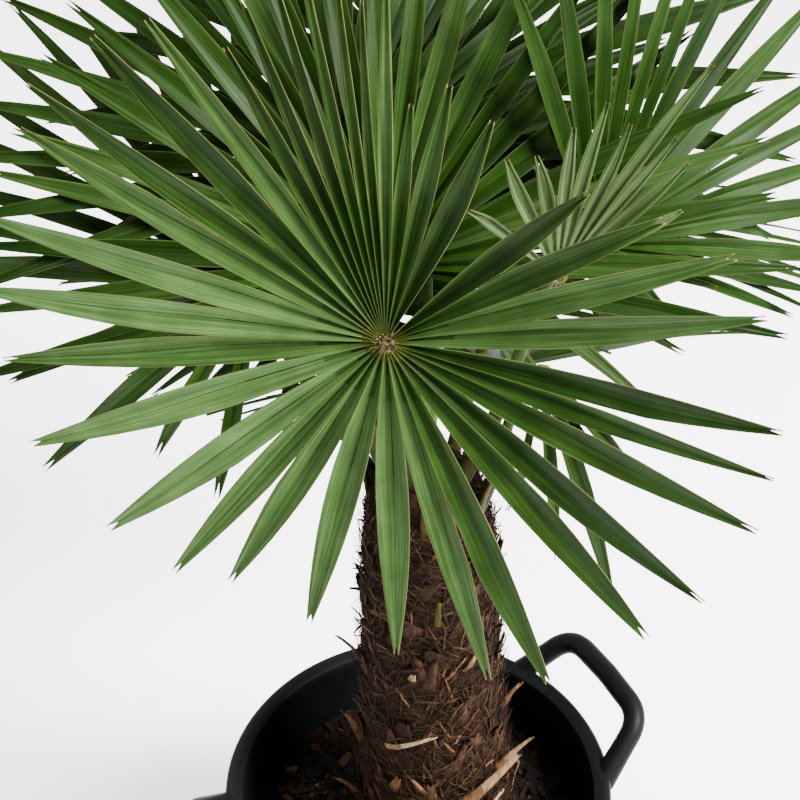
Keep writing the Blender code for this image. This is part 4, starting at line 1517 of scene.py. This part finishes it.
    def build(self, greens: list[bpy.types.Material]) -> None:
        """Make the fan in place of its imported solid.

        Args:
            greens: The finishes of its family.
        """
        name = f"fan_{self.frond.name}"
        packed = CadPoints(name)
        rng = random.Random(f"blade {self.frond.name}")
        sheaf = Sheaf()
        kept = 0
        for index in range(len(self.headings)):
            found = self.choice(index, packed)
            if found:
                self.leaflet(sheaf, index, *found, rng)
                kept += 1
        LOG.info("%s: %d of %d leaflets", name, kept, len(self.headings))
        piece = dress(sheaf.bmesh(1e-5), f"frond_{self.frond.name}", greens, (name,), 20.0)
        thicken(piece, self.thickness, len(greens))


@dataclass
class Stalk:
    """The stalk of one frond, from inside the trunk to the underside of the hub."""

    fan: Fan
    foot_width: float = 0.0085
    tip_width: float = 0.0042
    flat: float = 0.75
    gap: float = 0.0003
    packed_steps: int = 9
    steps: int = 30
    sides: int = 12
    shifts: tuple[int, ...] = (0, 14, -14, 28, -28, 42, -42, 56, -56)
    sways: tuple[float, ...] = (0, 0.015, -0.015, 0.03, -0.03)

    def line(self, azimuth: float, sway: float, steps: int) -> list[Vector]:
        """The stalk's curve: up out of the trunk, then over to the hub.

        Args:
            azimuth: Direction of its root in degrees.
            sway: How far its middle leans to the side.
            steps: Number of pieces.

        Returns:
            Points along it.
        """
        trunk = Trunk()
        fan = self.fan
        height = trunk.head.z - 0.055 + 0.10 * (fan.frond.height - 0.87) / 0.2
        share = (height - trunk.foot.z) / (trunk.head.z - trunk.foot.z)
        angle = math.radians(azimuth)
        out = Vector((math.cos(angle), math.sin(angle), 0.0))
        inside = trunk.centre(share) + out * (trunk.radius(share) * 0.55)
        tip = fan.hub - fan.face * (fan.hub_depth + self.gap)
        span = (tip - inside).length
        side = Vector((-out.y, out.x, 0.0))
        lead = inside + (UP * 0.80 + out * 0.45) * (0.42 * span) + side * sway
        arrive = ((tip - inside).normalized() + fan.face * 0.6).normalized()
        tail = tip - arrive * (0.30 * span) + side * sway
        return bezier(inside, lead, tail, tip, steps)

    def width(self, share: float) -> float:
        """Half width at a share of the way to the hub."""
        return self.tip_width + (self.foot_width - self.tip_width) * (1 - share)**1.3

    def chosen(self) -> tuple[float, float]:
        """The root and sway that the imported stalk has.

        Returns:
            The root's azimuth in degrees and the sway in metres.
        """
        packed = CadPoints(f"stalk_{self.fan.frond.name}")
        best = []
        for shift in self.shifts:
            for sway in self.sways:
                azimuth = self.fan.frond.azimuth + shift
                line = self.line(azimuth, sway, self.packed_steps)
                off = 0.0
                for step in (5, 6, 7):
                    off += abs(packed.off(line[step]) - self.width(step / self.packed_steps) * 0.85)
                best.append((off, len(best), azimuth, sway))
        return min(best)[2:]

    def build(self, finishes: list[bpy.types.Material]) -> None:
        """Make the stalk, olive where it leaves the trunk, and its small teeth.

        Args:
            finishes: Those of the upper stalk, of the teeth and of the lower stalk.
        """
        name = f"stalk_{self.fan.frond.name}"
        azimuth, sway = self.chosen()
        line = self.line(azimuth, sway, self.steps)
        radii = [self.width(k / self.steps) * (1.0 + 0.5 * max(0.0, 1 - k / 5)) for k in range(self.steps + 1)]
        up = self.fan.side.cross(UP)
        bm = bmesh.new()
        made = tube(bm, line, radii, self.sides, self.flat, up, 0)
        tip, face = line[-1], self.fan.face
        for vert in made:
            if (vert.co - tip).length < radii[-1] * 1.05:
                off = vert.co - tip
                vert.co = tip + off - face * off.dot(face)
        turn = line[0].z + 0.42 * (tip.z - line[0].z)
        for side_face in bm.faces:
            if side_face.calc_center_median().z < turn:
                side_face.material_index = 2
        rng = random.Random(name)
        for step in range(6, self.steps - 2):
            tangent = (line[step + 1] - line[step]).normalized()
            side = tangent.cross(up).normalized()
            for way in (-1, 1):
                spot = line[step].lerp(line[step + 1], rng.random()) + side * (way * radii[step] * 0.96)
                cone = bmesh.ops.create_cone(bm, segments=5, radius1=0.0009, radius2=0.0001, depth=0.0026)["verts"]
                aim = (side * way + tangent * 0.5).normalized().to_track_quat("Z", "Y").to_matrix().to_4x4()
                bmesh.ops.transform(bm, matrix=Matrix.Translation(spot) @ aim, verts=cone)
                for tooth in {face for vert in cone for face in vert.link_faces}:
                    tooth.material_index = 1
        dress(bm, f"{name}_green", finishes, (name,), 50.0)


@dataclass
class Crown:
    """Every frond, the furled youngest leaf, and the rough hubs."""

    spear_length: float = 0.15
    spear_radius: float = 0.0075

    def build(self) -> None:
        """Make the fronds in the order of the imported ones."""
        families = {shade: Greens(shade).materials() for shade in Shade}
        stalk = [StreakFinish("stalk_green", (0.018, 0.030, 0.0060)).material(),
                 PlainFinish("thorn_brown", (0.030, 0.020, 0.009), 0.6).material(),
                 StreakFinish("stalk_olive", (0.013, 0.0130, 0.0026)).material()]
        fans = []
        for index, frond in enumerate(FRONDS):
            fan = Fan(frond, random.Random(100 + index))
            fans.append(fan)
            fan.build(families[frond.shade])
            Stalk(fan).build(stalk)
        self.knobs(fans)
        self.spear()

    def knobs(self, fans: list[Fan]) -> None:
        """Give each hub a low pad, rough crumbs and dry shreds.

        Args:
            fans: The fans.
        """
        pads = bmesh.new()
        crumbs, shreds = Sheaf(), Sheaf()
        rng = random.Random(5)
        for fan in fans:
            in_front = fan.frond.shade is Shade.FRONT
            size = 0.0078 if in_front else 0.0048
            stand = Matrix.Translation(fan.hub) @ Matrix((fan.middle, fan.side, fan.face)).transposed().to_4x4()
            pad = bmesh.ops.create_cone(pads, cap_ends=True, segments=20, radius1=0.0055, radius2=0.0085,
                                        depth=fan.hub_depth * 0.86)["verts"]
            under = Matrix.Translation(Vector((0, 0, -fan.hub_depth * 0.545)))
            bmesh.ops.transform(pads, matrix=stand @ under, verts=pad)
            for _ in range(130 if in_front else 40):
                away = size * rng.random()**0.6
                out = fan.direction(rng.uniform(0, 360))
                lift = 0.0026 * rng.random() * (1 - away / size) + 0.0004
                along = (out + fan.face * rng.uniform(-0.7, 0.7)).normalized()
                along.rotate(Quaternion(fan.face, rng.gauss(0, 1.6)))
                across = along.cross(fan.face).normalized()
                half = rng.uniform(0.0004, 0.0011)
                crumbs.block(fan.hub + out * away + fan.face * lift, along * (half * 1.6), across * half,
                             along.cross(across) * (half * 0.6), rng.choices((0, 1, 2, 3), (4, 5, 2, 4))[0], rng)
            for _ in range(34):
                out = fan.direction(rng.uniform(0, 360))
                start = fan.hub + out * rng.uniform(0.0, size) + fan.face * 0.0012
                far = start + out * rng.uniform(0.002, 0.008) + fan.face * rng.uniform(0.0005, 0.004)
                swerve = fan.face.cross(out) * rng.uniform(-0.0015, 0.0015)
                line = [start, start.lerp(far, 0.35) + swerve, start.lerp(far, 0.7) + swerve * 1.5, far]
                shreds.strand(line, rng.uniform(0.0002, 0.0005), 0, 3, 0.5)
        finishes = [PlainFinish(name, tone, 0.8, 700).material() for name, tone in (
            ("crumb_brown", (0.018, 0.0100, 0.0036)), ("crumb_tan", (0.070, 0.050, 0.0200)),
            ("crumb_straw", (0.150, 0.118, 0.056)), ("crumb_olive", (0.040, 0.042, 0.0080)))]
        dress(pads, "hub_pads", [finishes[3]], (), 40.0)
        dress(crumbs.bmesh(), "hub_crumbs", finishes, (), 20.0)
        dress(shreds.bmesh(), "hub_shreds", [finishes[1]], (), 80.0)

    def spear(self) -> None:
        """Extrude the furled leaf with its pleats."""
        trunk = Trunk()
        foot = trunk.centre(trunk.radii[-1][0]) + UP * 0.0003
        line, radii = [], []
        for step in range(25):
            t = step / 24
            line.append(foot + Vector((0.010 * t * t, -0.006 * t, self.spear_length * t)))
            radii.append(self.spear_radius * (0.80 + 0.45 * math.sin(math.pi * t * 0.72)) * (1 - 0.88 * blend(0.55, 1.0, t)))
        bm = bmesh.new()
        tube(bm, line, radii, 20, 1.0, Vector((1, 0, 0)), 0)
        for vert in bm.verts:
            step = min(24, max(0, round((vert.co.z - foot.z) / self.spear_length * 24)))
            off = vert.co - line[step]
            angle = math.atan2(off.y, off.x)
            vert.co = line[step] + off * (1 + 0.14 * math.cos(angle * 5 + step * 0.12))
        dress(bm, "furled_leaf", [StreakFinish("spear_green", (0.048, 0.078, 0.018)).material()],
              ("spear",), 45.0)


def main() -> None:
    """Build every part of the scene in order."""
    logging.basicConfig(level=logging.INFO, format="%(name)s %(message)s")
    for part in (Studio(), Tub(), Soil(), Trunk(), Crown()):
        LOG.info("building %s", type(part).__name__)
        part.build()


if __name__ == "__main__":
    main()
